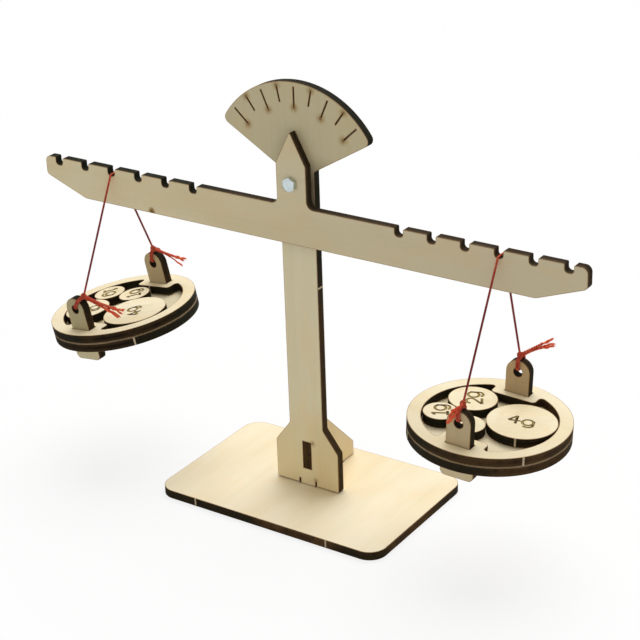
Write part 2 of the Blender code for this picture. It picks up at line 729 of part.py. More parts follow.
def thread(side, notch_empty, hanger):
    """One thread: over the notch, down to both lugs, looped through and knotted."""
    turn = Euler((hanger["lean"], hanger["tilt"], hanger["yaw"]), "ZXY").to_matrix()
    up_world = Vector((0, 0, 1))
    half_beam = PLY / 2
    notch_bottom = Vector((0, 0, -THREAD_STANDOFF))
    pieces = []
    strand = []
    for end, direction in (("front", -1), ("back", 1)):
        outward = turn @ Vector((0, direction, 0))
        hole = hole_line_offset(hanger) + outward * LUG_FROM_CENTRE
        turned = Matrix.Rotation(hanger["knot_turns"][end], 3, turn @ Vector((0, 1, 0)))
        towards_notch = turned @ square_to(outward, -hole)
        inward = -outward
        label = f"{side}_{end}"
        knot_at = hole + towards_notch * KNOT_FROM_HOLE + inward * KNOT_LEAN_TO_MIDDLE
        pieces += knot(f"{label}_knot", knot_at, towards_notch, notch_empty)
        loop = lug_loop(hole, inward, towards_notch, knot_at)
        pieces.append(tube(f"{label}_loop", loop, parent=notch_empty))
        for number, (middle, tip) in enumerate(TAILS[side, end]):
            name = f"{label}_tail_{number}"
            pieces.append(tube(name, tail(knot_at, number, middle, tip), parent=notch_empty))
        edge = notch_bottom + Vector((0, direction * half_beam, 0))
        down = (knot_at - edge).normalized()
        off_edge = square_to(down, Vector((0, direction, 1)))
        run = [*bend(edge, up_world, off_edge), knot_at]
        strand = list(reversed(run)) if end == "front" else strand + run
    body = tube(f"{side}_thread", spaced(strand), PARTS, notch_empty)
    knots = bpy.data.collections.new(f"{side}_thread_knots")
    CUTTERS.children.link(knots)
    for piece in pieces:
        CUTTERS.objects.unlink(piece)
        knots.objects.link(piece)
    boolean(body, "UNION", knots)
    return body


def hanging_pan(side, beam_pivot):
    hanger = HANGERS[side]
    across = hanger["side"] * notch_x(HANGING_NOTCH)
    notch_point = Vector((across, 0, NOTCH_BOTTOM_Z + THREAD_STANDOFF - PIVOT_Z))
    notch_empty = empty(f"{side}_notch_axis", notch_point, beam_pivot)
    hole_line = empty(f"{side}_lug_hole_axis", hole_line_offset(hanger), notch_empty)
    hole_line.rotation_mode = "ZXY"
    hole_line.rotation_euler = (hanger["lean"], hanger["tilt"], hanger["yaw"])
    pan(side, hole_line)
    weights(side, hole_line)
    thread(side, notch_empty, hanger)


def main():
    base_plate()
    upright()
    rear_brace()
    pivot_bolt()
    pivot_nut()
    beam_pivot = empty("beam_pivot_axis", (0, BEAM_CENTRE_Y, PIVOT_Z))
    beam(beam_pivot)
    for side in HANGERS:
        hanging_pan(side, beam_pivot)


main()
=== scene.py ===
"""Looks of the math balance: laser-cut sheets, engraved discs, twisted red threads, zinc bolt.

Metres, in the CAD model's own frame. A span says where a soft step starts and is full, and its
values there, 0 and 1 as set. A ground is two colours and a span, a layer one colour and a span, a
bump its strength and depth.
"""
import json
from math import atan2, ceil, cos, pi, radians, sin

import bmesh
import bpy
import numpy as np
from mathutils import Euler, Matrix, Vector
from mathutils.geometry import tessellate_polygon

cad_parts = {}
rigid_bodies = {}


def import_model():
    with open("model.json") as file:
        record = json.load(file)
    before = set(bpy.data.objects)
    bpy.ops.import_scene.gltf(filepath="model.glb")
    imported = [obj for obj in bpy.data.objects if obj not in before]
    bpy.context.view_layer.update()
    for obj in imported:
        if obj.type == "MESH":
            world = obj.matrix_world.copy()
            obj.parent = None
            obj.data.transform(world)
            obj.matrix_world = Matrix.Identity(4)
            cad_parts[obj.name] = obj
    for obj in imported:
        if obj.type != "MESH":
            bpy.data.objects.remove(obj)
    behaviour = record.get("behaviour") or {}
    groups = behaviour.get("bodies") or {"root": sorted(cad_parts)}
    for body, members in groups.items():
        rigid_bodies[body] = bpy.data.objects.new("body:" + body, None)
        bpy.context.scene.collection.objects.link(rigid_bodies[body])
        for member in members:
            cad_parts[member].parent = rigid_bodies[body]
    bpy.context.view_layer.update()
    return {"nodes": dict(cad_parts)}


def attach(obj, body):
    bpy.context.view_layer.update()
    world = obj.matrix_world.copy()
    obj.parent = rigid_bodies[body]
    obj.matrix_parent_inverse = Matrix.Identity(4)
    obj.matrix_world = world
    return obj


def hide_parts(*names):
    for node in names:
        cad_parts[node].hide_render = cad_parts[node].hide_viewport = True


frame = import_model()

# Camera at the photograph's angle
CAMERA_AT = Vector((0.50911, -0.7305, 0.51059))
CAMERA_TARGET = Vector((0.006119, 0.005783, 0.105159))
CAMERA_ROLL = radians(-1.937468)
CAMERA_LENS = 101.52

# Values of the CAD model, with turns in degrees
PLY = 0.005
HALF_PLY = PLY / 2
THREAD_STANDOFF = 0.00095
LUG_WIDTH = 0.0136
LUG_HOLE_DIAMETER = 0.0052
LUG_FROM_CENTRE = 0.03271
KNOT_FROM_HOLE = 0.00935
KNOT_LEAN_TO_MIDDLE = 0.0012
LOOP_END_SPREAD = 0.0009
RING_TOP = -0.0124
HANGERS = {
    "left": {
        "notch": (-0.12238, -0.0053, 0.17085),
        "depth": 0.0694,
        "drift_shares": (-0.0764, 0.0187),
        "turn": (4.0, -9.7, -5.0),
        "knot_turns": {"front": 26, "back": 0},
    },
    "right": {
        "notch": (0.12238, -0.0053, 0.17085),
        "depth": 0.078,
        "drift_shares": (-0.0564, -0.0077),
        "turn": (0.0, 2.7, 1.4),
        "knot_turns": {"front": 0, "back": 0},
    },
}

# Ways in the model's frame
UP = Vector((0, 0, 1))
FRONT = Vector((0, -1, 0))
BACK = Vector((0, 1, 0))
RIGHT = Vector((1, 0, 0))


# Node trees
class Nodes:
    """Short calls for the nodes of one tree."""

    def __init__(self, tree):
        self.tree = tree

    def node(self, kind, inputs=None, **settings):
        made = self.tree.nodes.new(f"ShaderNode{kind}")
        for key, value in settings.items():
            setattr(made, key, value)
        for key, value in (inputs or {}).items():
            self.put(made.inputs[key], value)
        return made

    def put(self, socket, value):
        if isinstance(value, bpy.types.NodeSocket):
            self.tree.links.new(value, socket)
        else:
            socket.default_value = (*value, 1) if socket.type == "RGBA" else value

    def maths(self, operation, first, second=0):
        return self.node("Math", {0: first, 1: second}, operation=operation).outputs[0]

    def times(self, first, second):
        return self.maths("MULTIPLY", first, second)

    def blended(self, share, first, second):
        return self.node("MixShader", {0: share, 1: first, 2: second}).outputs[0]

    def show(self, output, lit, seen):
        """Lights with one shader, and shows the other to camera, glossy and transmission rays."""
        rays = self.node("LightPath").outputs
        share = rays["Is Camera Ray"]
        for key in ("Is Glossy Ray", "Is Transmission Ray"):
            share = self.maths("MAXIMUM", share, rays[key])
        self.put(self.tree.nodes[output].inputs[0], self.blended(share, lit, seen))


class Shader(Nodes):
    """A material with one Principled shader."""

    def __init__(self, name):
        self.material = bpy.data.materials.new(name)
        self.material.use_nodes = True
        super().__init__(self.material.node_tree)

    def attribute(self, name, output="Fac"):
        return self.node("Attribute", attribute_name=name).outputs[output]

    def axes(self, vector):
        return self.node("SeparateXYZ", {0: vector}).outputs

    def smooth(self, value, low, high, to_low=0, to_high=1):
        """A soft step of value from low to high."""
        return self.node("MapRange", {0: value, 1: low, 2: high, 3: to_low, 4: to_high},
                         interpolation_type="SMOOTHSTEP").outputs[0]

    def mix(self, share, first, second, blend="MIX"):
        return self.node("Mix", {0: share, 6: first, 7: second},
                         data_type="RGBA", blend_type=blend).outputs[2]

    def layer(self, value, colour, over, span, *end):
        """The colour with another laid over it as value goes through its span."""
        return self.mix(self.smooth(value, *span, *end), colour, over)

    def noise(self, vector, scale, detail=3, roughness=0.55, distortion=0):
        scaled = self.node("VectorMath", {0: vector, 1: scale}, operation="MULTIPLY")
        return self.node("TexNoise", {
            "Vector": scaled.outputs[0], "Scale": 1, "Detail": detail,
            "Roughness": roughness, "Distortion": distortion}).outputs[0]

    def off_middle(self, noise, reach):
        """The noise as a shift to both sides of zero."""
        return self.times(self.maths("SUBTRACT", noise, NOISE_MIDDLE), reach)

    def finish(self, colour, height, bump, settings):
        """Gives the shader this colour, the bump that height makes and its other settings."""
        strength, depth = bump
        bumped = self.node("Bump", {"Height": height, "Strength": strength, "Distance": depth})
        shader = self.tree.nodes["Principled BSDF"]
        for key, value in {"Base Color": colour, "Normal": bumped.outputs[0], **settings}.items():
            self.put(shader.inputs[key], value)
        return self.material


# Birch faces: soft tone drift, faint long grain, short pores, browned rims and scorch marks
NOISE_MIDDLE = 0.5
# Scale along and across the grain, detail, roughness and distortion
BIRCH_NOISES = {
    "drift": ((11, 30, 30), 2, 0.5),
    "bands": ((4, 170, 170), 3, 0.6, 0.4),
    "blotches": ((34, 75, 75), 3, 0.6, 0.6),
    "lines": ((22, 1100, 1100), 4, 0.62, 0.2),
    "pores": ((150, 2300, 2300), 2, 0.5),
    "ragged": ((600, 600, 600), 3, 0.6),
}
LIGHT_SHARE = 1.04
WARM_SHARES = (0.97, 0.935, 0.86)
DRIFT_SPAN = (0.32, 0.7)
# Tints as shares of the tone, with the noises that lay each one on
TINT_SHARES = (
    ((0.91, 0.925, 0.85), {"bands": (0.45, 0.8, 0, 0.45)}),
    ((1.02, 0.965, 0.9), {"blotches": (0.45, 0.72, 0, 0.8)}),
    ((0.78, 0.7, 0.56), {"lines": (0.5, 0.82, 0, 0.16), "pores": (0.66, 0.78, 0, 0.2)}),
)
# Painted shade: colour of a dark strip that stands for shade, and how far it darkens the birch
PAINTED_SHADE_COLOUR = (0.085, 0.078, 0.062)
PAINTED_SHADE_SHARE = 0.8
HAZE_NOISE = ((150, 150, 150), 2, 0.5)
HAZE_LAYER = ((0.72, 0.5, 0.17), (0.5, 0.78, 0))
SCORCH_COLOUR = (0.4, 0.235, 0.05)
SCORCH_RAGGED_SHARE = 0.8
CORE_COLOUR = (0.085, 0.044, 0.016)
CORE_SHARE = 0.36
RIM_RAGGED_SHARE = 0.55
RIM_LAYERS = (
    ((0.4, 0.205, 0.06), (0.1, 0.75, 0, 0.78)),
    ((0.1, 0.05, 0.022), (0.92, 1.3, 0, 0.7)),
)
BIRCH_ROUGH_SPAN = (0.3, 0.8, 0.54, 0.68)
LINES_SHARE = 0.5
BIRCH_BUMP = (0.1, 0.00008)


def face_material(name, tone, scorches=(), haze=0, fades=(), painted_shade=None):
    """Birch of this tone, which drifts to each fade's tone along the grain between its two places.

    The last argument paints shade as a dark strip on the sheet's front: where it starts and is full across
    the grain, where it starts and is full along it, and where it is full and ends along it.
    """
    made = Shader(f"birch_{name}")
    grain = made.attribute("grain", "Vector")
    along, across, height = made.axes(grain)
    noises = {key: made.noise(grain, *values) for key, values in BIRCH_NOISES.items()}
    light = tuple(min(1, value * LIGHT_SHARE) for value in tone)
    warm = tuple(value * share for value, share in zip(tone, WARM_SHARES))
    colour = made.layer(noises["drift"], light, warm, DRIFT_SPAN)
    for far_tone, start, end in fades:
        colour = made.layer(along, colour, far_tone, (start, end))
    # Painted shade: darkens the strip between its places, on the sheet's front only
    if painted_shade:
        aside, upper, lower = painted_shade
        shaded_strip = made.times(made.smooth(across, *aside), made.smooth(along, *upper))
        shaded_strip = made.times(shaded_strip, made.smooth(along, *lower, PAINTED_SHADE_SHARE, 0))
        shaded_strip = made.times(shaded_strip, made.smooth(height, 0, PLY / 4))
        colour = made.mix(shaded_strip, colour, PAINTED_SHADE_COLOUR)
    for tint, spans in TINT_SHARES:
        tinted = made.mix(1, colour, tint, "MULTIPLY")
        for key, span in spans.items():
            colour = made.layer(noises[key], colour, tinted, span)
    if haze:
        colour = made.layer(made.noise(grain, *HAZE_NOISE), colour, *HAZE_LAYER, haze)
    for point, radius, strength in scorches:
        away = made.node("VectorMath", {0: grain, 1: point}, operation="DISTANCE")
        away = away.outputs["Value"]
        ragged = made.off_middle(noises["lines"], radius * SCORCH_RAGGED_SHARE)
        colour = made.layer(made.maths("ADD", away, ragged), colour, SCORCH_COLOUR,
                            (0, radius, strength, 0))
        colour = made.layer(away, colour, CORE_COLOUR, (0, radius * CORE_SHARE, strength, 0))
    ragged = made.off_middle(noises["ragged"], RIM_RAGGED_SHARE)
    burn = made.maths("ADD", made.attribute("rim"), ragged)
    for over, span in RIM_LAYERS:
        colour = made.layer(burn, colour, over, span)
    lines = made.times(noises["lines"], LINES_SHARE)
    return made.finish(colour, made.maths("ADD", lines, noises["pores"]), BIRCH_BUMP,
                       {"Roughness": made.smooth(noises["lines"], *BIRCH_ROUGH_SPAN)})


# Cut edges: three charred plies with pulse streaks, ash and pale uncut tabs
# Scale along the cut and through the ply, detail, roughness and distortion
CUT_NOISES = {
    "char": ((240, 0.7, 1), 3, 0.6),
    "streaks": ((2300, 1.1, 1), 3, 0.6, 0.3),
    "patches": ((70, 0.4, 1), 2),
    "fibres": ((2200, 2.4, 1), 2),
}
SOOT_NOISE = ((60, 60, 60), 3, 0.55)
OLIVE_NOISE = ((16, 16, 16), 1)
# The middle ply's colour and the outer ones'
PLIES_GROUND = ((0.017, 0.01, 0.0052), (0.046, 0.0275, 0.0125), (0.26, 0.38))
SOOT_LAYER = ((0.06, 0.036, 0.016), (0.4, 0.7, 0, 0.7))
FRONT_LAYER = ((0.1, 0.07, 0.036), (-0.4, 0.6, 0))
WARM_LAYER = ((0.205, 0.11, 0.042), (0.3, 0.62, 0.15))
OLIVE_COLOUR = (0.0165, 0.0172, 0.0105)
OLIVE_SPAN = (0.44, 0.56, 0, 0.8)
SOOTY_SHARES = (0.15, 0.95)
STREAK_LAYER = ((0.1, 0.062, 0.029), (0.52, 0.86, 0, 0.4))
CHAR_LAYER = ((0.0065, 0.005, 0.0042), (0.5, 0.76, 0, 0.65))
PATCH_SPAN = (0.36, 0.62)
VENEER_COLOUR = (0.24, 0.12, 0.045)
VENEER_SPAN = (0.9, 0.985)
VENEER_SHARE = 0.5
GLUE_COLOUR = (0.44, 0.36, 0.24)
GLUE_SPAN = (0.8, 0.93)
GLUE_PATCH_SPAN = (0, 1, 0.3, 0.8)
BARE_GROUND = ((0.8, 0.69, 0.49), (0.55, 0.41, 0.24), (0.35, 0.65))
TAB_SPAN = (0.35, 0.75)
EDGE_SPECULAR = 0.05
EDGE_ROUGH_SPAN = (0.3, 0.7, 0.66, 0.9)
EDGE_CHAR_SHARE = 0.5
EDGE_BUMP = (0.35, 0.00015)


def edge_material(name, seam=0, warmth=0, sooty=None, front=0):
    """Charred edge; seam shows glue at one side, and soot comes on between the two sooty places.

    warmth browns it in patches, and front makes the side at the sheet's face paler.
    """
    made = Shader(name)
    grain = made.attribute("grain", "Vector")
    depth = made.attribute("depth")
    off_middle = made.maths("ABSOLUTE", depth)
    cut = made.node("CombineXYZ", {0: made.attribute("run"), 1: depth}).outputs[0]
    noises = {key: made.noise(cut, *values) for key, values in CUT_NOISES.items()}
    soot = made.noise(grain, *SOOT_NOISE)
    colour = made.layer(off_middle, *PLIES_GROUND)
    colour = made.layer(soot, colour, *SOOT_LAYER)
    if front:
        colour = made.layer(depth, colour, *FRONT_LAYER, front)
    if warmth:
        colour = made.layer(soot, colour, *WARM_LAYER, warmth)
    if sooty:
        colour = made.layer(made.axes(grain)[0], colour, OLIVE_COLOUR, sooty, *SOOTY_SHARES)
    else:
        colour = made.layer(made.noise(grain, *OLIVE_NOISE), colour, OLIVE_COLOUR, OLIVE_SPAN)
    colour = made.layer(noises["streaks"], colour, *STREAK_LAYER)
    colour = made.layer(noises["char"], colour, *CHAR_LAYER)
    patchy = made.smooth(noises["patches"], *PATCH_SPAN)
    veneer = made.times(made.smooth(off_middle, *VENEER_SPAN), made.times(patchy, VENEER_SHARE))
    colour = made.mix(veneer, colour, VENEER_COLOUR)
    if seam:
        glue = made.smooth(made.times(depth, seam), *GLUE_SPAN)
        glue = made.times(glue, made.smooth(patchy, *GLUE_PATCH_SPAN))
        colour = made.mix(glue, colour, GLUE_COLOUR)
    bare = made.layer(noises["fibres"], *BARE_GROUND)
    colour = made.layer(made.attribute("tab"), colour, bare, TAB_SPAN)
    char = made.times(noises["char"], EDGE_CHAR_SHARE)
    return made.finish(colour, made.maths("ADD", noises["streaks"], char), EDGE_BUMP, {
        "Roughness": made.smooth(soot, *EDGE_ROUGH_SPAN), "Specular IOR Level": EDGE_SPECULAR})


# Engraved lines: dark floors with sloped golden sides
ENGRAVED_SETTINGS = {"Roughness": 0.85, "Specular IOR Level": 0.2}
ASH_NOISE = ((1400, 1400, 1400), 3, 0.6)
ASH_GROUND = ((0.04, 0.024, 0.006), (0.1, 0.062, 0.014), (0.35, 0.7))
GOLD_LAYER = ((0.46, 0.315, 0.09), (0.905, 0.965))
ASH_BUMP = (0.4, 0.0001)


def engraved_material():
    made = Shader("engraved_lines")
    ash = made.noise(made.attribute("grain", "Vector"), *ASH_NOISE)
    colour = made.layer(ash, *ASH_GROUND)
    colour = made.layer(made.attribute("depth"), colour, *GOLD_LAYER)
    return made.finish(colour, ash, ASH_BUMP, ENGRAVED_SETTINGS)


# Cotton: deep red where it is twisted tight, brighter where its plies lie loose; the same brighter red is
# painted light on the strand over its notch and near its knots
COTTON_SETTINGS = {
    "Roughness": 0.86, "Sheen Weight": 0.06, "Sheen Roughness": 0.45, "Sheen Tint": (1, 0.45, 0.38)}
WORN_NOISE = ((420, 420, 420), 3, 0.6)
TIGHT_GROUND = ((0.2, 0.013, 0.016), (0.31, 0.024, 0.024), (0.35, 0.7))
# Brighter red of loose plies, also used as painted light on the strand
LOOSE_AND_LIT_GROUND = ((0.88, 0.09, 0.028), (1.00, 0.215, 0.085), (0.35, 0.7))
COTTON_NOISE = ((5200, 5200, 2600), 3, 0.65)
COTTON_LAYER = ((0.2, 0.006, 0.007), (0.55, 0.8, 0, 0.45))
COTTON_BUMP = (0.5, 0.00008)


def cotton_material():
    made = Shader("red_cotton")
    place = made.node("TexCoord").outputs["Object"]
    worn = made.noise(place, *WORN_NOISE)
    fibre = made.noise(place, *COTTON_NOISE)
    tight = made.layer(worn, *TIGHT_GROUND)
    loose = made.layer(worn, *LOOSE_AND_LIT_GROUND)
    colour = made.mix(made.attribute("loose"), tight, loose)
    colour = made.layer(fibre, colour, *COTTON_LAYER)
    return made.finish(colour, fibre, COTTON_BUMP, COTTON_SETTINGS)


# Zinc plating: cloudy, with fine drawn marks
CLOUD_NOISE = ((400, 400, 400), 3, 0.6)
DRAWN_NOISE = ((900, 900, 9000), 2, 0.5)
ZINC_GROUND = ((0.61, 0.68, 0.7), (0.53, 0.6, 0.62), (0.35, 0.7))
ZINC_ROUGH_SPAN = (0.3, 0.75, 0.2, 0.3)
ZINC_BUMP = (0.06, 0.00005)


def zinc_material():
    made = Shader("zinc_plated_steel")
    place = made.node("TexCoord").outputs["Object"]
    cloud = made.noise(place, *CLOUD_NOISE)
    colour = made.layer(cloud, *ZINC_GROUND)
    return made.finish(colour, made.noise(place, *DRAWN_NOISE), ZINC_BUMP, {
        "Roughness": made.smooth(cloud, *ZINC_ROUGH_SPAN), "Metallic": 1})


# Tones of the sheets, and scorches as a point in the sheet's grain axes, a radius and a strength
BASE_TONE = (0.93, 0.825, 0.6)
BEAM_TONE = (0.9, 0.79, 0.515)
BEAM_FADES = (((0.8, 0.69, 0.455), -0.13, 0.16),)
FOOT_TONE = (0.935, 0.8, 0.495)
# Painted light and shade on the upright: the post painted paler above the foot for light bounced up from
# the base, the dial painted darker above the beam
POST_PAINTED_LIGHT_TONE = (0.99, 0.885, 0.595)
DIAL_PAINTED_SHADE_TONE = (0.735, 0.64, 0.395)
UPRIGHT_PAINTED_LIGHT_FADES = ((POST_PAINTED_LIGHT_TONE, 0.034, 0.06), (DIAL_PAINTED_SHADE_TONE, 0.15, 0.192))
BRACE_TONE = (0.9, 0.77, 0.5)
# Painted shade: each lug's face darkened by its own amount to stand for the shade it hangs in
LUG_PAINTED_SHADE_TONES = {
    ("left", "front"): (0.51, 0.45, 0.25),
    ("left", "back"): (0.57, 0.465, 0.27),
    ("right", "front"): (0.64, 0.515, 0.305),
    ("right", "back"): (0.61, 0.45, 0.25),
}
# Painted light: each lug paler towards its flange, for light bounced up from below
FLANGE_PAINTED_LIGHT_TONES = {"left": (0.74, 0.66, 0.41), "right": (0.82, 0.69, 0.44)}
RING_TONE = (0.91, 0.805, 0.56)
# Painted shade: the pan floors darker than the rings, the left floor more
FLOOR_PAINTED_SHADE_TONES = {"left": (0.795, 0.705, 0.475), "right": (0.885, 0.785, 0.545)}
DISC_TONE = (0.925, 0.82, 0.57)
PAN_WARMTH = {"left": 0, "right": 0.26}
UPRIGHT_SOOT = (0.11, 0.15)
BEAM_SOOT = (-0.03, -0.06)
BEAM_KNOT = ((-0.095, 0.154, HALF_PLY), 0.003, 2.2)
# Painted shade of the beam's neck on the post's front: across, then along where it starts and is full, and
# where it is full and ends
NECK_PAINTED_SHADE = ((-0.0078, -0.0093), (0.205, 0.186), (0.172, 0.164))
SLOT_SCORCH = ((0.0322, -0.004, HALF_PLY), 0.0034, 0.5)
RELIEF_SCORCH = ((0.0092, -0.0053, HALF_PLY), 0.0026, 0.5)
DIAL_CENTRE_Z = 0.187
TICK_COUNT = 9
TICK_SPACING = radians(12)
TICK_OUTER_RADIUS = 0.0509
TICK_INNER_RADIUS = 0.0403
TICK_SCORCH = 0.0038
PAST_TICK = 0.0005
LONG_SCORCH_SHARE = 0.85
SHORT_SCORCH_SHARE = 0.8


def tick_scorches():
    """The laser pierced long ticks at their inner end and short ones at their outer end."""
    made = []
    for number in range(TICK_COUNT):
        angle = (number - (TICK_COUNT - 1) / 2) * TICK_SPACING
        is_short = number % 2
        radius = TICK_OUTER_RADIUS + PAST_TICK if is_short else TICK_INNER_RADIUS - PAST_TICK
        strength = SHORT_SCORCH_SHARE if is_short else LONG_SCORCH_SHARE
        point = (DIAL_CENTRE_Z + radius * cos(angle), -radius * sin(angle), HALF_PLY)
        made.append((point, TICK_SCORCH, strength))
    return made


COTTON = cotton_material()
ZINC = zinc_material()
ENGRAVED = engraved_material()
EDGE = edge_material("cut_edge")


# Camera, light and floor
WHITE = (1, 1, 1)
WORLD_LIGHT = 0.4
KEY_LIGHT = {"strength": 2.08, "azimuth": -163, "elevation": 65, "softness": 50}
FLOOR_COLOUR = (0.98, 0.98, 0.98)
FLOOR_BOUNCE = (0.66, 0.65, 0.63)
FLOOR_GLOW_SHARE = 0.8
FLOOR_CORNERS = ((-6, -6, 0), (6, -6, 0), (6, 6, 0), (-6, 6, 0))


def add_object(name, data):
    made = bpy.data.objects.new(name, data)
    bpy.context.scene.collection.objects.link(made)
    return made


def add_piece(name, mesh, body):
    made = add_object(name, mesh)
    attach(made, body)
    return made


def mesh_of(name, points, faces, materials):
    mesh = bpy.data.meshes.new(name)
    mesh.from_pydata([tuple(p) for p in points], [], faces)
    for material in materials:
        mesh.materials.append(material)
    return mesh


def make_camera():
    forward = (CAMERA_TARGET - CAMERA_AT).normalized()
    level = forward.cross(UP).normalized()
    upright = level.cross(forward)
    right = cos(CAMERA_ROLL) * level + sin(CAMERA_ROLL) * upright
    up = -sin(CAMERA_ROLL) * level + cos(CAMERA_ROLL) * upright
    data = bpy.data.cameras.new("camera")
    data.lens = CAMERA_LENS
    camera = add_object("camera", data)
    turn = Matrix((right, up, -forward)).transposed().to_4x4()
    camera.matrix_world = Matrix.Translation(CAMERA_AT) @ turn
    bpy.context.scene.camera = camera


def sun(name, strength, azimuth, elevation, softness):
    """A sun that shines from this azimuth, 0 in front and 90 from the right."""
    data = bpy.data.lights.new(name, "SUN")
    data.energy = strength
    data.angle = radians(softness)
    made = add_object(name, data)
    side, rise = radians(azimuth), radians(elevation)
    towards = Vector((sin(side) * cos(rise), -cos(side) * cos(rise), sin(rise)))
    made.rotation_mode = "QUATERNION"
    made.rotation_quaternion = towards.to_track_quat("Z", "Y")


def make_world():
    world = bpy.data.worlds.new("studio")
    world.use_nodes = True
    nodes = Nodes(world.node_tree)
    light = nodes.tree.nodes["Background"]
    nodes.put(light.inputs["Strength"], WORLD_LIGHT)
    nodes.put(light.inputs["Color"], WHITE)
    white = nodes.node("Background", {"Color": WHITE})
    nodes.show("World Output", light.outputs[0], white.outputs[0])
    bpy.context.scene.world = world


def make_floor():
    made = bpy.data.materials.new("floor")
    made.use_nodes = True
    nodes = Nodes(made.node_tree)
    nodes.tree.nodes.remove(nodes.tree.nodes["Principled BSDF"])
    lit, bounce = (nodes.node("BsdfDiffuse", {"Color": colour}).outputs[0]
                   for colour in (FLOOR_COLOUR, FLOOR_BOUNCE))
    seen = nodes.blended(FLOOR_GLOW_SHARE, lit, nodes.node("Emission").outputs[0])
    nodes.show("Material Output", bounce, seen)
    add_object("floor", mesh_of("floor", FLOOR_CORNERS, [(0, 1, 2, 3)], [made]))


# Threads: plies twisted round a line, which part where an end lies loose
PLY_THREAD_RADIUS = 0.00033
PLY_THREAD_OFFSET = 0.00031
LOOSE_PLY_RADIUS = 0.0006
TWIST_PITCH = 0.003
THREAD_STEP = 0.0004
THREAD_SIDES = 7
OFF_THE_LINE = (0.31, 0.52, 0.79)
TIGHT = ((0, 0, 0),) * 3
LOOSE_THREAD_SHARE = 1.25
UNTWIST_SHARE = 0.85
LOOSE_OFFSET_SHARE = 0.5
LOOSE_BEND_POWER = 1.25
PLY_WAVE = 0.00026
WAVE_TURN = 5
WAVE_TURN_PER_PLY = 2.3
KNOT_LOOSE_SHARE = 0.42
TAIL_LOOSE_SHARE = 0.62
# Painted light: how bright the strand is painted over its notch and near its knots, and how far that
# reaches
STRAND_PAINTED_LIGHT_SHARE = 0.62
STRAND_PAINTED_LIGHT_REACH = 0.026
KNOT_REACH_SHARE = 3
LOOP_HALF_SPREAD = 0.00052
LOOP_PHASE = 1
TREFOIL_SIZE = 0.00044
TREFOIL_DEPTH = 0.0006
TREFOIL_STRETCH_SHARE = 1.35
TREFOIL_STEPS = 72
# The two small knots of an end: tilt, roll and phase
TREFOIL_POSES = ((radians(35), 0, 0), (radians(-50), radians(60), 2))
BEND_STEPS = 8
TAIL_STEPS = 16
# The two loose ends of a knot: where each starts over its middle, and phase
TAIL_ROOTS = ((0.0007, 0.8), (-0.0007, 3.2))
TIP_SHARES = (0.9, 0.72, 0.4)
FIBRES_AT_TIP = 5
FIBRE_LENGTH = 0.0011
FIBRE_RADIUS = 0.00005
FIBRE_SIDES = 4
FIBRE_POINTS = 5
FIBRE_TURN = 2.4
FIBRE_LENGTH_SHARES = (0.7, 0.3)
FIBRE_AHEAD_SHARE = 1.5
FIBRE_ASIDE_SHARE = 0.6

# Loose ends of each knot, in tenths of a millimetre: middle, tip, share at which the plies part, and
# each ply's tip from that tip
TENTH = 0.0001
TAILS = {
    ("left", "front"): (
        ((156, -12, -14), (298, -10, -20), 0.66, ((3, 0, 7), (-3, 0, -3), (-15, 0, -18))),
        ((151, -16, -28), (273, -20, -61), 0.45, ((0, 0, 0), (-6, 0, 7), (-12, 0, -4))),
    ),
    ("left", "back"): (
        ((107, 10, -18), (226, 12, -25), 0.6, ((3, 0, 6), (0, 4, -1), (-9, -3, -9))),
        ((97, 12, -28), (197, 16, -75), 0.7, ((0, 0, 0),)),
    ),
    ("right", "front"): (
        ((-7, -52, -22), (-54, -62, -92), 0.3, ((0, 0, 0), (13, 0, 13), (-3, -3, 5))),
        ((-8, -46, -5), (-40, -60, -40), 0.25, ((9, 0, 22), (-5, 0, -15), (0, 3, 0))),
    ),
    ("right", "back"): (
        ((96, 12, 73), (179, 20, 131), 0.6, ((0, 0, 2), (-4, 0, -6))),
        ((93, 14, 56), (185, 22, 91), 0.55, ((3.5, 0, 12), (0, 0, 0), (-8, 0, -10))),
    ),
}


def lengths(vectors):
    return np.linalg.norm(vectors, axis=1)


def length_along(line):
    """How far along the line each of its points lies."""
    return np.concatenate([[0], np.cumsum(lengths(np.diff(line, axis=0)))])


def evenly(route):
    """Points along the route, a thread step apart."""
    line = np.array([tuple(p) for p in route])
    reach = length_along(line)
    spots = np.linspace(0, reach[-1], ceil(reach[-1] / THREAD_STEP) + 1)
    return np.stack([np.interp(spots, reach, line[:, i]) for i in range(3)], axis=1)


def frames_along(line):
    """Two directions square to the line at each point, turned as little as can be."""
    ahead = np.gradient(line, axis=0)
    ahead /= lengths(ahead)[:, None]
    side = np.cross(ahead[0], OFF_THE_LINE)
    sides = []
    for way in ahead:
        side = side - way * side.dot(way)
        side /= np.linalg.norm(side)
        sides.append(side)
    sides = np.array(sides)
    return sides, np.cross(ahead, sides)


def tube(line, radii, sides):
    """Closed round tube along the line: its points and faces."""
    across, over = frames_along(line)
    turn = np.linspace(0, 2 * pi, sides, endpoint=False)
    rings = (line[:, None] + radii[:, None, None] * (
        across[:, None] * np.cos(turn)[None, :, None] + over[:, None] * np.sin(turn)[None, :, None]))
    points = rings.reshape(-1, 3)
    faces = [tuple(range(sides))[::-1]]
    for i in range(len(line) - 1):
        for j in range(sides):
            here, beside = i * sides + j, i * sides + (j + 1) % sides
            faces.append((here, beside, beside + sides, here + sides))
    last = (len(line) - 1) * sides
    faces.append(tuple(last + j for j in range(sides)))
    return points, faces


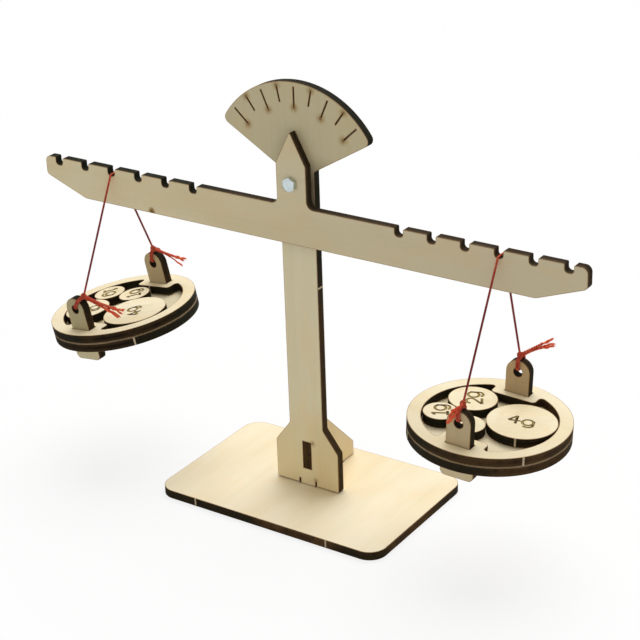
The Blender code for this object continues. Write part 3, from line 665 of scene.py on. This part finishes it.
class Yarn:
    """Gathers the tubes of one thread piece."""

    def __init__(self):
        self.points = []
        self.faces = []
        self.loose = []

    def add(self, line, radii, sides, loose):
        points, faces = tube(line, radii, sides)
        start = sum(len(before) for before in self.points)
        self.points.append(points)
        self.faces += [tuple(i + start for i in face) for face in faces]
        self.loose.append(np.repeat(loose, sides))

    def thread(self, route, tips=TIGHT, parts_at=1, phase=0, least=0):
        """A twisted thread along the route, whose plies part from there on, each to its own tip.

        least says how bright it is at the least: one number, or one for each point.
        """
        line = evenly(route)
        across, over = frames_along(line)
        share = np.linspace(0, 1, len(line))
        loose = np.clip((share - parts_at) / max(1 - parts_at, THREAD_STEP), 0, 1)
        turns = np.cumsum(1 - UNTWIST_SHARE * loose) / len(line) * length_along(line)[-1] / TWIST_PITCH
        thicker = LOOSE_THREAD_SHARE if parts_at < 1 else 1
        offset = PLY_THREAD_OFFSET * thicker * (1 - LOOSE_OFFSET_SHARE * loose) * (len(tips) > 1)
        for ply, tip in enumerate(np.array(tips) * TENTH):
            angle = phase + 2 * pi * (turns + ply / len(tips))
            wave = np.sin(loose * (WAVE_TURN + WAVE_TURN_PER_PLY * ply) + phase + ply)
            sway = PLY_WAVE * np.sin(pi * loose) * wave
            path = line + across * (np.cos(angle) * offset + sway)[:, None]
            path = path + over * (np.sin(angle) * offset - sway)[:, None]
            path = path + (loose ** LOOSE_BEND_POWER)[:, None] * tip
            tight_radius = PLY_THREAD_RADIUS * thicker
            radii = tight_radius + (LOOSE_PLY_RADIUS - tight_radius) * loose
            if parts_at < 1:
                radii[-len(TIP_SHARES):] *= TIP_SHARES
                self.fuzz(path, phase + ply)
            self.add(path, radii, THREAD_SIDES, np.clip(least + loose, 0, 1))

    def fuzz(self, path, phase):
        """Fine fibres that stand out of a loose ply's tip."""
        across, over = frames_along(path)
        ahead = (path[-1] - path[-2]) / np.linalg.norm(path[-1] - path[-2])
        root = path[-len(TIP_SHARES)]
        steps = np.linspace(0, 1, FIBRE_POINTS)[:, None]
        least, more = FIBRE_LENGTH_SHARES
        for i in range(FIBRES_AT_TIP):
            angle = phase + i * FIBRE_TURN
            out = across[-1] * cos(angle) + over[-1] * sin(angle)
            reach = FIBRE_LENGTH * (least + more * sin(3 * angle))
            line = (root + ahead * reach * FIBRE_AHEAD_SHARE * steps
                    + out * reach * FIBRE_ASIDE_SHARE * steps ** 2)
            self.add(line, np.full(len(line), FIBRE_RADIUS), FIBRE_SIDES, np.ones(len(line)))

    def mesh(self, name):
        mesh = mesh_of(name, np.concatenate(self.points), self.faces, [COTTON])
        layer = mesh.attributes.new("loose", "FLOAT", "POINT")
        layer.data.foreach_set("value", np.concatenate(self.loose).astype(np.float32))
        mesh.shade_smooth()
        return mesh


def square_to(direction, along):
    """Unit vector square to direction, leaning the way of along."""
    return (along - direction * along.dot(direction)).normalized()


def pan_pose(side):
    """The middle between the pan's lug holes, and how the pan is turned."""
    hanger = HANGERS[side]
    drift_x, drift_y = hanger["drift_shares"]
    middle = Vector(hanger["notch"]) + Vector((drift_x, drift_y, -1)) * hanger["depth"]
    return middle, Euler([radians(angle) for angle in hanger["turn"]], "ZXY").to_matrix()


def bend(corner, start, end):
    """Round an edge at the thread's standoff, from one direction off it to another."""
    return [corner + start.slerp(end, i / BEND_STEPS) * THREAD_STANDOFF
            for i in range(BEND_STEPS + 1)]


def lug_loop(hole, inward, up, knot_at):
    """Down the lug's outer face, through its hole and up its inner face."""
    crown, hole_top = LUG_WIDTH / 2, LUG_HOLE_DIAMETER / 2
    outer_edge = hole - inward * HALF_PLY
    inner_edge = hole + inward * HALF_PLY
    route = [knot_at - inward * LOOP_END_SPREAD]
    route += bend(outer_edge + up * crown, up, -inward)
    route += bend(outer_edge + up * hole_top, -inward, -up)
    route += bend(inner_edge + up * hole_top, -up, inward)
    route += bend(inner_edge + up * crown, inward, up)
    route.append(knot_at + inward * LOOP_END_SPREAD)
    return route


def trefoil(centre, matrix):
    """Closed line of a small overhand knot."""
    points = []
    for i in range(TREFOIL_STEPS + 1):
        t = 2 * pi * i / TREFOIL_STEPS
        x = (sin(t) + 2 * sin(2 * t)) * TREFOIL_SIZE
        y = (cos(t) - 2 * cos(2 * t)) * TREFOIL_SIZE
        points.append(centre + matrix @ Vector((x, y, -sin(3 * t) * TREFOIL_DEPTH)))
    return points


def tail(knot_at, middle, tip, rise):
    """Smooth arc from the knot through its middle to its tip."""
    middle, tip = (knot_at + Vector([c * TENTH for c in place]) for place in (middle, tip))
    root = knot_at + Vector((0, 0, rise))
    bow = 2 * middle - (root + tip) / 2
    return [root * (1 - t) ** 2 + bow * 2 * t * (1 - t) + tip * t ** 2
            for t in np.linspace(0, 1, TAIL_STEPS + 1)]


def knot(side, end, hole, inward, up, knot_at):
    """The piece at a lug: two loop strands, two small knots and two loose ends."""
    yarn = Yarn()
    aside = up.cross(inward)
    for beside in (-LOOP_HALF_SPREAD, LOOP_HALF_SPREAD):
        loop = [point + aside * beside for point in lug_loop(hole, inward, up, knot_at)]
        yarn.thread(loop, phase=LOOP_PHASE + beside, least=KNOT_LOOSE_SHARE)
    pose = Matrix((aside, up * TREFOIL_STRETCH_SHARE, inward)).transposed()
    for tilt, roll, phase in TREFOIL_POSES:
        turned = pose @ Matrix.Rotation(tilt, 3, "Y") @ Matrix.Rotation(roll, 3, "Z")
        yarn.thread(trefoil(knot_at, turned), phase=phase, least=KNOT_LOOSE_SHARE)
    for (middle, tip, parts_at, tips), (rise, phase) in zip(TAILS[side, end], TAIL_ROOTS):
        yarn.thread(tail(knot_at, middle, tip, rise), tips, parts_at, phase, TAIL_LOOSE_SHARE)
    name = f"{side}_{end}_knot"
    return add_piece(name, yarn.mesh(name), f"{side}_hanger")


def thread(side):
    """The strand from knot to knot over its notch is the cord; loops, knots and ends go with it."""
    middle, turn = pan_pose(side)
    hanger = HANGERS[side]
    notch = Vector(hanger["notch"])
    strand = []
    for end, direction in (("front", -1), ("back", 1)):
        outward = turn @ (BACK * direction)
        hole = middle + outward * LUG_FROM_CENTRE
        turned = Matrix.Rotation(radians(hanger["knot_turns"][end]), 3, turn @ BACK)
        up = turned @ square_to(outward, notch - hole)
        inward = -outward
        knot_at = hole + up * KNOT_FROM_HOLE + inward * KNOT_LEAN_TO_MIDDLE
        knot(side, end, hole, inward, up, knot_at)
        edge = notch + Vector((0, direction * HALF_PLY, -THREAD_STANDOFF))
        down = (knot_at - edge).normalized()
        run = [*bend(edge, UP, square_to(down, Vector((0, direction, 1)))), knot_at]
        strand = [*reversed(strand), *run]
    line = evenly(strand)
    reach = np.linspace(0, len(line) * THREAD_STEP, len(line))
    # Painted light: the strand brighter towards its middle over the notch and near its knots
    near = np.minimum(KNOT_REACH_SHARE * np.minimum(reach, reach[::-1]), abs(reach - reach[-1] / 2))
    yarn = Yarn()
    yarn.thread(strand, least=STRAND_PAINTED_LIGHT_SHARE * np.clip(1 - near / STRAND_PAINTED_LIGHT_REACH, 0, 1))
    name = f"{side}_thread_strand"
    made = add_piece(name, yarn.mesh(name), f"{side}_hanger")
    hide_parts(f"{side}_thread")


make_camera()
make_world()
make_floor()
bpy.context.scene.view_settings.view_transform = "Standard"
sun("key", **KEY_LIGHT)
for side in HANGERS:
    thread(side)

# Sheets: each CAD sheet is cut again from its own outline, with soft rims, ply lines and tabs
FACING_LEAST = 0.5
SAME_PLANE = 0.995
NORMAL_DIGITS = 2
WELD = 0.000002
ARC_LEAST = radians(0.5)
ARC_MOST = radians(20)
ARC_STEP = radians(4)
SAME_LENGTH_SHARE = 0.03
RIM_WIDTH = 0.0005
RIM_INNER = 0.00016
TAB_HALF_WIDTH = 0.0005
TAB_BUMP = 0.00016
TAB_CLEAR_SHARE = 1.6
# Steps across a tab: place in half widths, and how far it is one
TAB_STEPS = ((-1.3, 0), (-0.8, 1), (0.8, 1), (1.3, 0))
# Profile from a sheet's rim down past its glue line: inset into the wood, height, brownness of the
# rim, moves with a tab
HALF_PROFILE = (
    (RIM_WIDTH, HALF_PLY, 0, 0),
    (RIM_INNER, HALF_PLY, 1, 0),
    (0.00006, HALF_PLY - 0.00003, 1, 0),
    (0, HALF_PLY - 0.00011, 1, 1),
    (0, 0.00094, 1, 1),
    (0.00004, 0.00086, 1, 1),
    (0, 0.00078, 1, 1),
)
PROFILE = (*HALF_PROFILE, *((inset, -height, *rest) for inset, height, *rest in reversed(HALF_PROFILE)))
FIRST_WALL = 3
LAST_WALL = len(PROFILE) - 1 - FIRST_WALL
SHARP_ANGLE = radians(50)
EDGE_VALUES = ("rim", "depth", "run", "tab")
FACE_SLOT, EDGE_SLOT, MARK_SLOT = 0, 1, 2


def cap_outlines(node, facing):
    """The flat face that looks the way of facing: its normal and its outlines."""
    work = bmesh.new()
    work.from_mesh(node.data)
    bmesh.ops.remove_doubles(work, verts=work.verts, dist=WELD)
    work.normal_update()
    areas = {}
    for face in work.faces:
        key = tuple(round(c, NORMAL_DIGITS) for c in face.normal)
        if face.normal.dot(facing) > FACING_LEAST:
            areas[key] = areas.get(key, 0) + face.calc_area()
    best = Vector(max(areas, key=areas.get)).normalized()
    cap = [f for f in work.faces if f.normal.dot(best) > SAME_PLANE]
    normal = sum((f.normal * f.calc_area() for f in cap), Vector()).normalized()
    cap = set(cap)
    beside = {}
    for edge in work.edges:
        if sum(f in cap for f in edge.link_faces) == 1:
            first, second = (v.index for v in edge.verts)
            beside.setdefault(first, []).append(second)
            beside.setdefault(second, []).append(first)
    work.verts.ensure_lookup_table()
    outlines = []
    left = set(beside)
    while left:
        ahead = [min(left)]
        loop = []
        while ahead:
            loop.append(ahead[0])
            left.discard(ahead[0])
            ahead = [i for i in beside[loop[-1]] if i in left]
        outlines.append([work.verts[i].co.copy() for i in loop])
    work.free()
    return normal, outlines


def area_of(loop):
    x, y = loop[:, 0], loop[:, 1]
    return float(np.dot(x, np.roll(y, -1)) - np.dot(np.roll(x, -1), y)) / 2


def finer(loop):
    """The outline with its arcs cut into shorter steps."""
    ahead = np.roll(loop, -1, 0) - loop
    length = lengths(ahead)
    way = np.arctan2(ahead[:, 1], ahead[:, 0])
    turn = (way - np.roll(way, 1) + pi) % (2 * pi) - pi
    count = len(loop)
    points = []
    for i in range(count):
        points.append(loop[i])
        bow = 0
        for near, corner in (((i + 1) % count, (i + 1) % count), (i - 1, i)):
            alike = abs(length[i] - length[near]) < SAME_LENGTH_SHARE * length[i]
            if not bow and alike and ARC_LEAST < abs(turn[corner]) < ARC_MOST:
                bow = turn[corner]
        if bow:
            radius = length[i] / (2 * sin(bow / 2))
            along = ahead[i] / length[i]
            inner = np.array((-along[1], along[0]))
            parts = max(2, ceil(abs(bow) / ARC_STEP))
            for k in range(1, parts):
                angle = bow * (k / parts - 0.5)
                points.append(loop[i] + along * radius * (sin(angle) + sin(bow / 2))
                              - inner * radius * (cos(angle) - cos(bow / 2)))
    return np.array(points)


def nearest_on(loop, spot):
    """The steps of the outline, each one's point nearest to the spot, and how far off that is."""
    ahead = np.roll(loop, -1, 0) - loop
    share = np.clip(((spot - loop) * ahead).sum(1) / (ahead ** 2).sum(1), 0, 1)
    near = loop + ahead * share[:, None]
    return ahead, near, lengths(near - spot)


def closest(loops, spot):
    """Number of the outline that runs nearest to the spot."""
    return int(np.argmin([nearest_on(loop, spot)[2].min() for loop in loops]))


def with_tabs(loop, tabs):
    """Adds points to the outline for its uncut tabs, and says how far each point is one."""
    flags = np.zeros(len(loop))
    for spot in tabs:
        ahead, near, away = nearest_on(loop, spot)
        i = int(np.argmin(away))
        along = ahead[i] / np.linalg.norm(ahead[i])
        added = [near[i] + along * TAB_HALF_WIDTH * place for place, _ in TAB_STEPS]
        keep = lengths(loop - near[i]) > TAB_CLEAR_SHARE * TAB_HALF_WIDTH
        at = i + 1
        loop, flags = (np.concatenate([old[:at][keep[:at]], new, old[at:][keep[at:]]])
                       for old, new in ((loop, added), (flags, [flag for _, flag in TAB_STEPS])))
    return loop, flags


def inward_shift(loop):
    """For each point, the move that takes it one length into the wood."""
    ahead = np.roll(loop, -1, 0) - loop
    ahead /= lengths(ahead)[:, None]
    inner = np.stack([-ahead[:, 1], ahead[:, 0]], axis=1)
    last = np.roll(inner, 1, 0)
    return (inner + last) / (1 + (inner * last).sum(1))[:, None]


class Sheet:
    """Gathers the points, values and faces of one sheet, flat in its grain axes."""

    def __init__(self, outlines, tabs):
        self.points, self.values, self.faces, self.slots, self.rims = [], [], [], [], []
        for number, loop in enumerate(outlines):
            near = [spot for spot in tabs if closest(outlines, spot) == number]
            self.add_walls(*with_tabs(finer(loop), near))
        self.add_cap(0, False)
        self.add_cap(len(PROFILE) - 1, True)

    def add_walls(self, loop, flags):
        """Carries the profile round the outline."""
        shift = inward_shift(loop)
        run = length_along(loop)
        start, count = len(self.points), len(loop)
        self.rims.append((start, count))
        for inset, height, brown, moves in PROFILE:
            ring = loop + shift * (inset - TAB_BUMP * flags * moves)[:, None]
            self.points += [(u, v, height) for u, v in ring]
            self.values += [(brown, height / HALF_PLY, far, flag * moves) for far, flag in zip(run, flags)]
        for level in range(len(PROFILE) - 1):
            self.slots += [EDGE_SLOT if FIRST_WALL <= level < LAST_WALL else FACE_SLOT] * count
            for i in range(count):
                here, beside = (start + level * count + j for j in (i, (i + 1) % count))
                self.faces.append((here, here + count, beside + count, beside))

    def add_cap(self, level, flip):
        """Fills in the face between the outlines' rings at this level of the profile."""
        rings = [range(start + level * count, start + (level + 1) * count) for start, count in self.rims]
        index = [i for ring in rings for i in ring]
        loops = [[Vector((*self.points[i][:2], 0)) for i in ring] for ring in rings]
        for triangle in tessellate_polygon(loops):
            corner = [index[i] for i in triangle]
            (ax, ay, _), (bx, by, _), (cx, cy, _) = (self.points[i] for i in corner)
            turning = (bx - ax) * (cy - ay) - (cx - ax) * (by - ay)
            if turning == 0:
                continue
            if (turning < 0) != flip:
                corner.reverse()
            self.faces.append(tuple(corner))
            self.slots.append(FACE_SLOT)


def cut_sheet(name, facing, grain, face, edge=EDGE):
    """Cuts the named CAD sheet again and puts the new piece in its place."""
    node = frame["nodes"][name]
    normal, outlines = cap_outlines(node, facing)
    along = square_to(normal, grain)
    across = normal.cross(along)
    flat = [np.array([(p.dot(along), p.dot(across)) for p in loop]) for loop in outlines]
    flat.sort(key=lambda loop: -abs(area_of(loop)))
    flat = [loop if (area_of(loop) > 0) == (i == 0) else loop[::-1] for i, loop in enumerate(flat)]
    top = sum(p.dot(normal) for p in outlines[0]) / len(outlines[0])
    middle = top - HALF_PLY
    sheet = Sheet(flat, [(along.dot(tab), across.dot(tab)) for tab in TABS.get(name, ())])
    world = [along * u + across * v + normal * (middle + h) for u, v, h in sheet.points]
    mesh = mesh_of(name, world, sheet.faces, [face, edge, ENGRAVED])
    mesh.polygons.foreach_set("material_index", sheet.slots)
    dress(mesh, sheet.values, sheet.points)
    if name in MARKS:
        axes = Matrix((along, across, normal)).transposed()
        mesh = engraved(name, mesh, axes, middle, flat[0])
    mesh.shade_smooth()
    mesh.set_sharp_from_angle(angle=SHARP_ANGLE)
    body = node.parent.name.split("body:")[-1]
    piece = add_piece(f"{name}_ply", mesh, body)
    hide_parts(name)


def dress(mesh, values, places):
    """Gives the mesh its rim, depth, run, tab and grain values."""
    for old in list(mesh.attributes):
        if old.name in (*EDGE_VALUES, "grain"):
            mesh.attributes.remove(old)
    shown = np.array(values, np.float32)
    for column, key in enumerate(EDGE_VALUES):
        layer = mesh.attributes.new(key, "FLOAT", "POINT")
        layer.data.foreach_set("value", np.ascontiguousarray(shown[:, column]))
    layer = mesh.attributes.new("grain", "FLOAT_VECTOR", "POINT")
    layer.data.foreach_set("vector", np.array(places, np.float32).ravel())


def arc(centre, radii, start, end, steps=10):
    """Points on a part of an ellipse, in degrees."""
    angles = np.radians(np.linspace(start, end, steps))
    return [(centre[0] + radii[0] * cos(a), centre[1] + radii[1] * sin(a)) for a in angles]


# Generic figures of one stroke, as shares of the height of a capital, and how far each one moves on
STROKE_SHARES = {
    "4": ([[(0.5, 1), (0, 0.395)], [(0, 0.395), (0.8, 0.395)], [(0.5, 1.04), (0.5, 0)]],
          0.9),
    "2": ([[(0.03, 0.74), *arc((0.36, 0.7), (0.33, 0.3), 165, -35, 14), (0, 0.02)],
           [(-0.03, 0), (0.73, 0)]], 0.84),
    "1": ([[(0.06, 0.8), (0.3, 1)], [(0.28, 1.03), (0.28, 0)], [(0.02, 0), (0.56, 0)]],
          0.62),
    "g": ([[*arc((0.36, 0.36), (0.35, 0.36), 0, 360, 25)],
           [(0.71, 0.6), (0.71, 0), *arc((0.4, 0), (0.31, 0.26), -12, -150)]], 0.76),
}
CAPITAL_HEIGHT = {"left": 0.0078, "right": 0.0081}
# Section of a stroke's groove: place across it, and height over the disc's face
GROOVE_SECTION = ((0.00086, 0.0001), (-0.00086, 0.0001), (-0.00034, -0.00026), (0.00034, -0.00026))

# Marks on the discs: figures, direction on the pan in degrees, start from the disc's middle, and
# the share of a capital that the g is raised
MARKS = {
    "left_weight_4g": ("4g", 147, (-0.0074, -0.0029), 0.08),
    "left_weight_2g": ("2g", 40, (-0.0052, -0.0042), 0.1),
    "left_weight_1g_outer": ("1g", -45, (-0.0056, -0.0031), 0.1),
    "left_weight_1g_inner": ("1g", 133, (-0.005, -0.0034), 0.02),
    "right_weight_4g": ("4g", 16, (-0.00715, -0.00315), -0.04),
    "right_weight_2g": ("2g", 118, (-0.0058, -0.0046), 0.17),
    "right_weight_1g_outer": ("1g", 120, (-0.0046, -0.0036), 0.08),
    "right_weight_1g_inner": ("1g", -56, (-0.0053, -0.0046), 0.1),
}


def groove(path):
    """Corner points and faces of a bar with sloped sides along a flat path."""
    line = np.array(path)
    closed = np.linalg.norm(line[0] - line[-1]) < WELD
    if closed:
        line = line[:-1]
        ahead = np.roll(line, -1, 0) - np.roll(line, 1, 0)
    else:
        ahead = np.gradient(line, axis=0)
    ahead /= lengths(ahead)[:, None]
    points = []
    for centre, out in zip(line, np.stack([-ahead[:, 1], ahead[:, 0]], axis=1)):
        points += [(*(centre + out * aside), height) for aside, height in GROOVE_SECTION]
    count = len(line)
    faces = []
    for i in range(count if closed else count - 1):
        here, there = 4 * i, 4 * ((i + 1) % count)
        for k in range(4):
            beside = (k + 1) % 4
            faces.append((here + k, here + beside, there + beside, there + k))
    if not closed:
        last = 4 * (count - 1)
        faces += [(3, 2, 1, 0), (last, last + 1, last + 2, last + 3)]
    return points, faces


def cutter(path, start, ways, materials):
    """A closed bar along a path on the disc, to cut one stroke with."""
    points, faces = groove(path)
    along, upward, normal = ways
    places = [start + along * x + upward * y + normal * h for x, y, h in points]
    bar = mesh_of("stroke", places, faces, materials)
    bar.polygons.foreach_set("material_index", [MARK_SLOT] * len(bar.polygons))
    work = bmesh.new()
    work.from_mesh(bar)
    bmesh.ops.recalc_face_normals(work, faces=work.faces)
    work.to_mesh(bar)
    work.free()
    return bpy.data.objects.new("stroke", bar)


def engraved(name, mesh, axes, middle, rim):
    """Cuts the disc's figures into its upper face, and gives the mesh its values again."""
    figures, degrees, start, g_raise = MARKS[name]
    side = name.split("_")[0]
    capital = CAPITAL_HEIGHT[side]
    angle = radians(degrees)
    along = (pan_pose(side)[1] @ Vector((cos(angle), sin(angle), 0))).normalized()
    normal = axes.col[2]
    writing = (along, normal.cross(along).normalized(), normal)
    rim_middle = (rim.max(0) + rim.min(0)) / 2
    radius = lengths(rim - rim_middle).max()
    top = axes @ Vector((*rim_middle, middle + HALF_PLY))
    cutters = bpy.data.collections.new("figures")
    across, base = start
    for figure in figures:
        strokes, advance = STROKE_SHARES[figure]
        lift = g_raise if figure == "g" else 0
        for stroke in strokes:
            path = [(across + x * capital, base + (y + lift) * capital) for x, y in stroke]
            cutters.objects.link(cutter(path, top, writing, list(mesh.materials)))
        across += advance * capital
    holder = add_object("disc", mesh)
    bpy.context.scene.collection.children.link(cutters)
    cut = holder.modifiers.new("figures", "BOOLEAN")
    cut.operand_type = "COLLECTION"
    cut.collection = cutters
    cut.operation = "DIFFERENCE"
    cut.solver = "EXACT"
    evaluated = holder.evaluated_get(bpy.context.evaluated_depsgraph_get())
    result = bpy.data.meshes.new_from_object(evaluated)
    for done in (holder, *cutters.objects):
        bpy.data.objects.remove(done, do_unlink=True)
    bpy.data.collections.remove(cutters)
    values, places = [], []
    for vertex in result.vertices:
        u, v, w = axes.transposed() @ vertex.co
        out = np.array((u, v)) - rim_middle
        inset = radius - np.linalg.norm(out)
        brown = min(1, max(0, (RIM_WIDTH - inset) / (RIM_WIDTH - RIM_INNER)))
        values.append((brown, (w - middle) / HALF_PLY, radius * atan2(out[1], out[0]), 0))
        places.append((u, v, w - middle))
    dress(result, values, places)
    return result


def on_pan(side, x, y, z=RING_TOP - HALF_PLY):
    """A point of the pan, from the middle between its lug holes; as set, half way down its ring."""
    middle, turn = pan_pose(side)
    return middle + turn @ Vector((x, y, z))


def on_circle(side, radius, degrees, centre=(0, 0)):
    angle = radians(degrees)
    return on_pan(side, centre[0] + radius * cos(angle), centre[1] + radius * sin(angle))


def lug_face(side, end):
    """A lug's birch with painted shade, and painted bounce light that turns it paler inside the pan's two
    sheets, towards the flange.
    """
    facing = pan_pose(side)[1] @ FRONT
    grain_way = square_to(facing, UP)
    from_middle = LUG_FROM_CENTRE if end == "back" else -LUG_FROM_CENTRE
    hidden = [on_pan(side, 0, from_middle, z).dot(grain_way) for z in (RING_TOP, RING_TOP - 2 * PLY)]
    return face_material(f"{side}_{end}_lug", LUG_PAINTED_SHADE_TONES[side, end],
                         fades=((FLANGE_PAINTED_LIGHT_TONES[side], *hidden),))


# Uncut tabs, which stay pale: where the laser left the sheets joined
PAN_RADIUS = 0.0427
BASE_FRONT = -0.0473
FOUR_GRAM_RADIUS = 0.0184
RIGHT_FOUR_GRAM_PLACE = (0.01602, 0.00461)
TABS = {
    "base_plate": ((-0.046, BASE_FRONT, 0), (0.041, BASE_FRONT, 0)),
    "upright_dial": ((0.011, 0, 0.1275),),
    "left_pan_ring": (on_pan("left", -0.0028, 0.0253),),
    "right_pan_ring": (on_circle("right", PAN_RADIUS, 320),),
    "left_pan_floor": (on_circle("left", PAN_RADIUS, 320.5),),
    "right_pan_floor": (on_circle("right", PAN_RADIUS, 220),),
    "right_weight_4g": (on_circle("right", FOUR_GRAM_RADIUS, 285.5, RIGHT_FOUR_GRAM_PLACE),),
}
FLOOR_GRAIN = Vector((1, 0.3, 0))
DISC_GRAIN = Vector((1, 0.5, 0))

cut_sheet("base_plate", UP, BACK, face_material("base", BASE_TONE),
          edge_material("cut_edge_base", warmth=0.45))
cut_sheet("upright_dial", FRONT, UP,
          face_material("upright", FOOT_TONE, [*tick_scorches(), SLOT_SCORCH, RELIEF_SCORCH],
                        fades=UPRIGHT_PAINTED_LIGHT_FADES, painted_shade=NECK_PAINTED_SHADE),
          edge_material("cut_edge_upright", warmth=0.16, sooty=UPRIGHT_SOOT))
cut_sheet("rear_brace", RIGHT, UP, face_material("brace", BRACE_TONE),
          edge_material("cut_edge_brace", warmth=0.2))
cut_sheet("beam", FRONT, RIGHT, face_material("beam", BEAM_TONE, [BEAM_KNOT], fades=BEAM_FADES),
          edge_material("cut_edge_beam", sooty=BEAM_SOOT, front=0.55))
ring_face = face_material("ring", RING_TONE)
disc_face = face_material("disc", DISC_TONE, haze=0.3)
for side, warmth in PAN_WARMTH.items():
    cut_sheet(f"{side}_pan_floor", UP, FLOOR_GRAIN, face_material(f"{side}_floor", FLOOR_PAINTED_SHADE_TONES[side]),
              edge_material(f"cut_edge_{side}_floor", seam=1, warmth=warmth))
    cut_sheet(f"{side}_pan_ring", UP, RIGHT, ring_face,
              edge_material(f"cut_edge_{side}_ring", seam=-1, warmth=warmth))
    for end in ("front", "back"):
        cut_sheet(f"{side}_{end}_lug", FRONT, UP, lug_face(side, end))
    for weight in ("4g", "2g", "1g_outer", "1g_inner"):
        cut_sheet(f"{side}_weight_{weight}", UP, DISC_GRAIN, disc_face)

# The bolt and its nut keep their CAD meshes, with softened edges
BOLT_BEVEL = 0.00036
BOLT_BEVEL_STEPS = 3
BOLT_BEVEL_ANGLE = radians(25)
for name in ("pivot_bolt", "pivot_nut"):
    node = frame["nodes"][name]
    for slot in node.material_slots:
        slot.material = ZINC
    soften = node.modifiers.new("soften", "BEVEL")
    soften.width = BOLT_BEVEL
    soften.segments = BOLT_BEVEL_STEPS
    soften.limit_method = "ANGLE"
    soften.angle_limit = BOLT_BEVEL_ANGLE
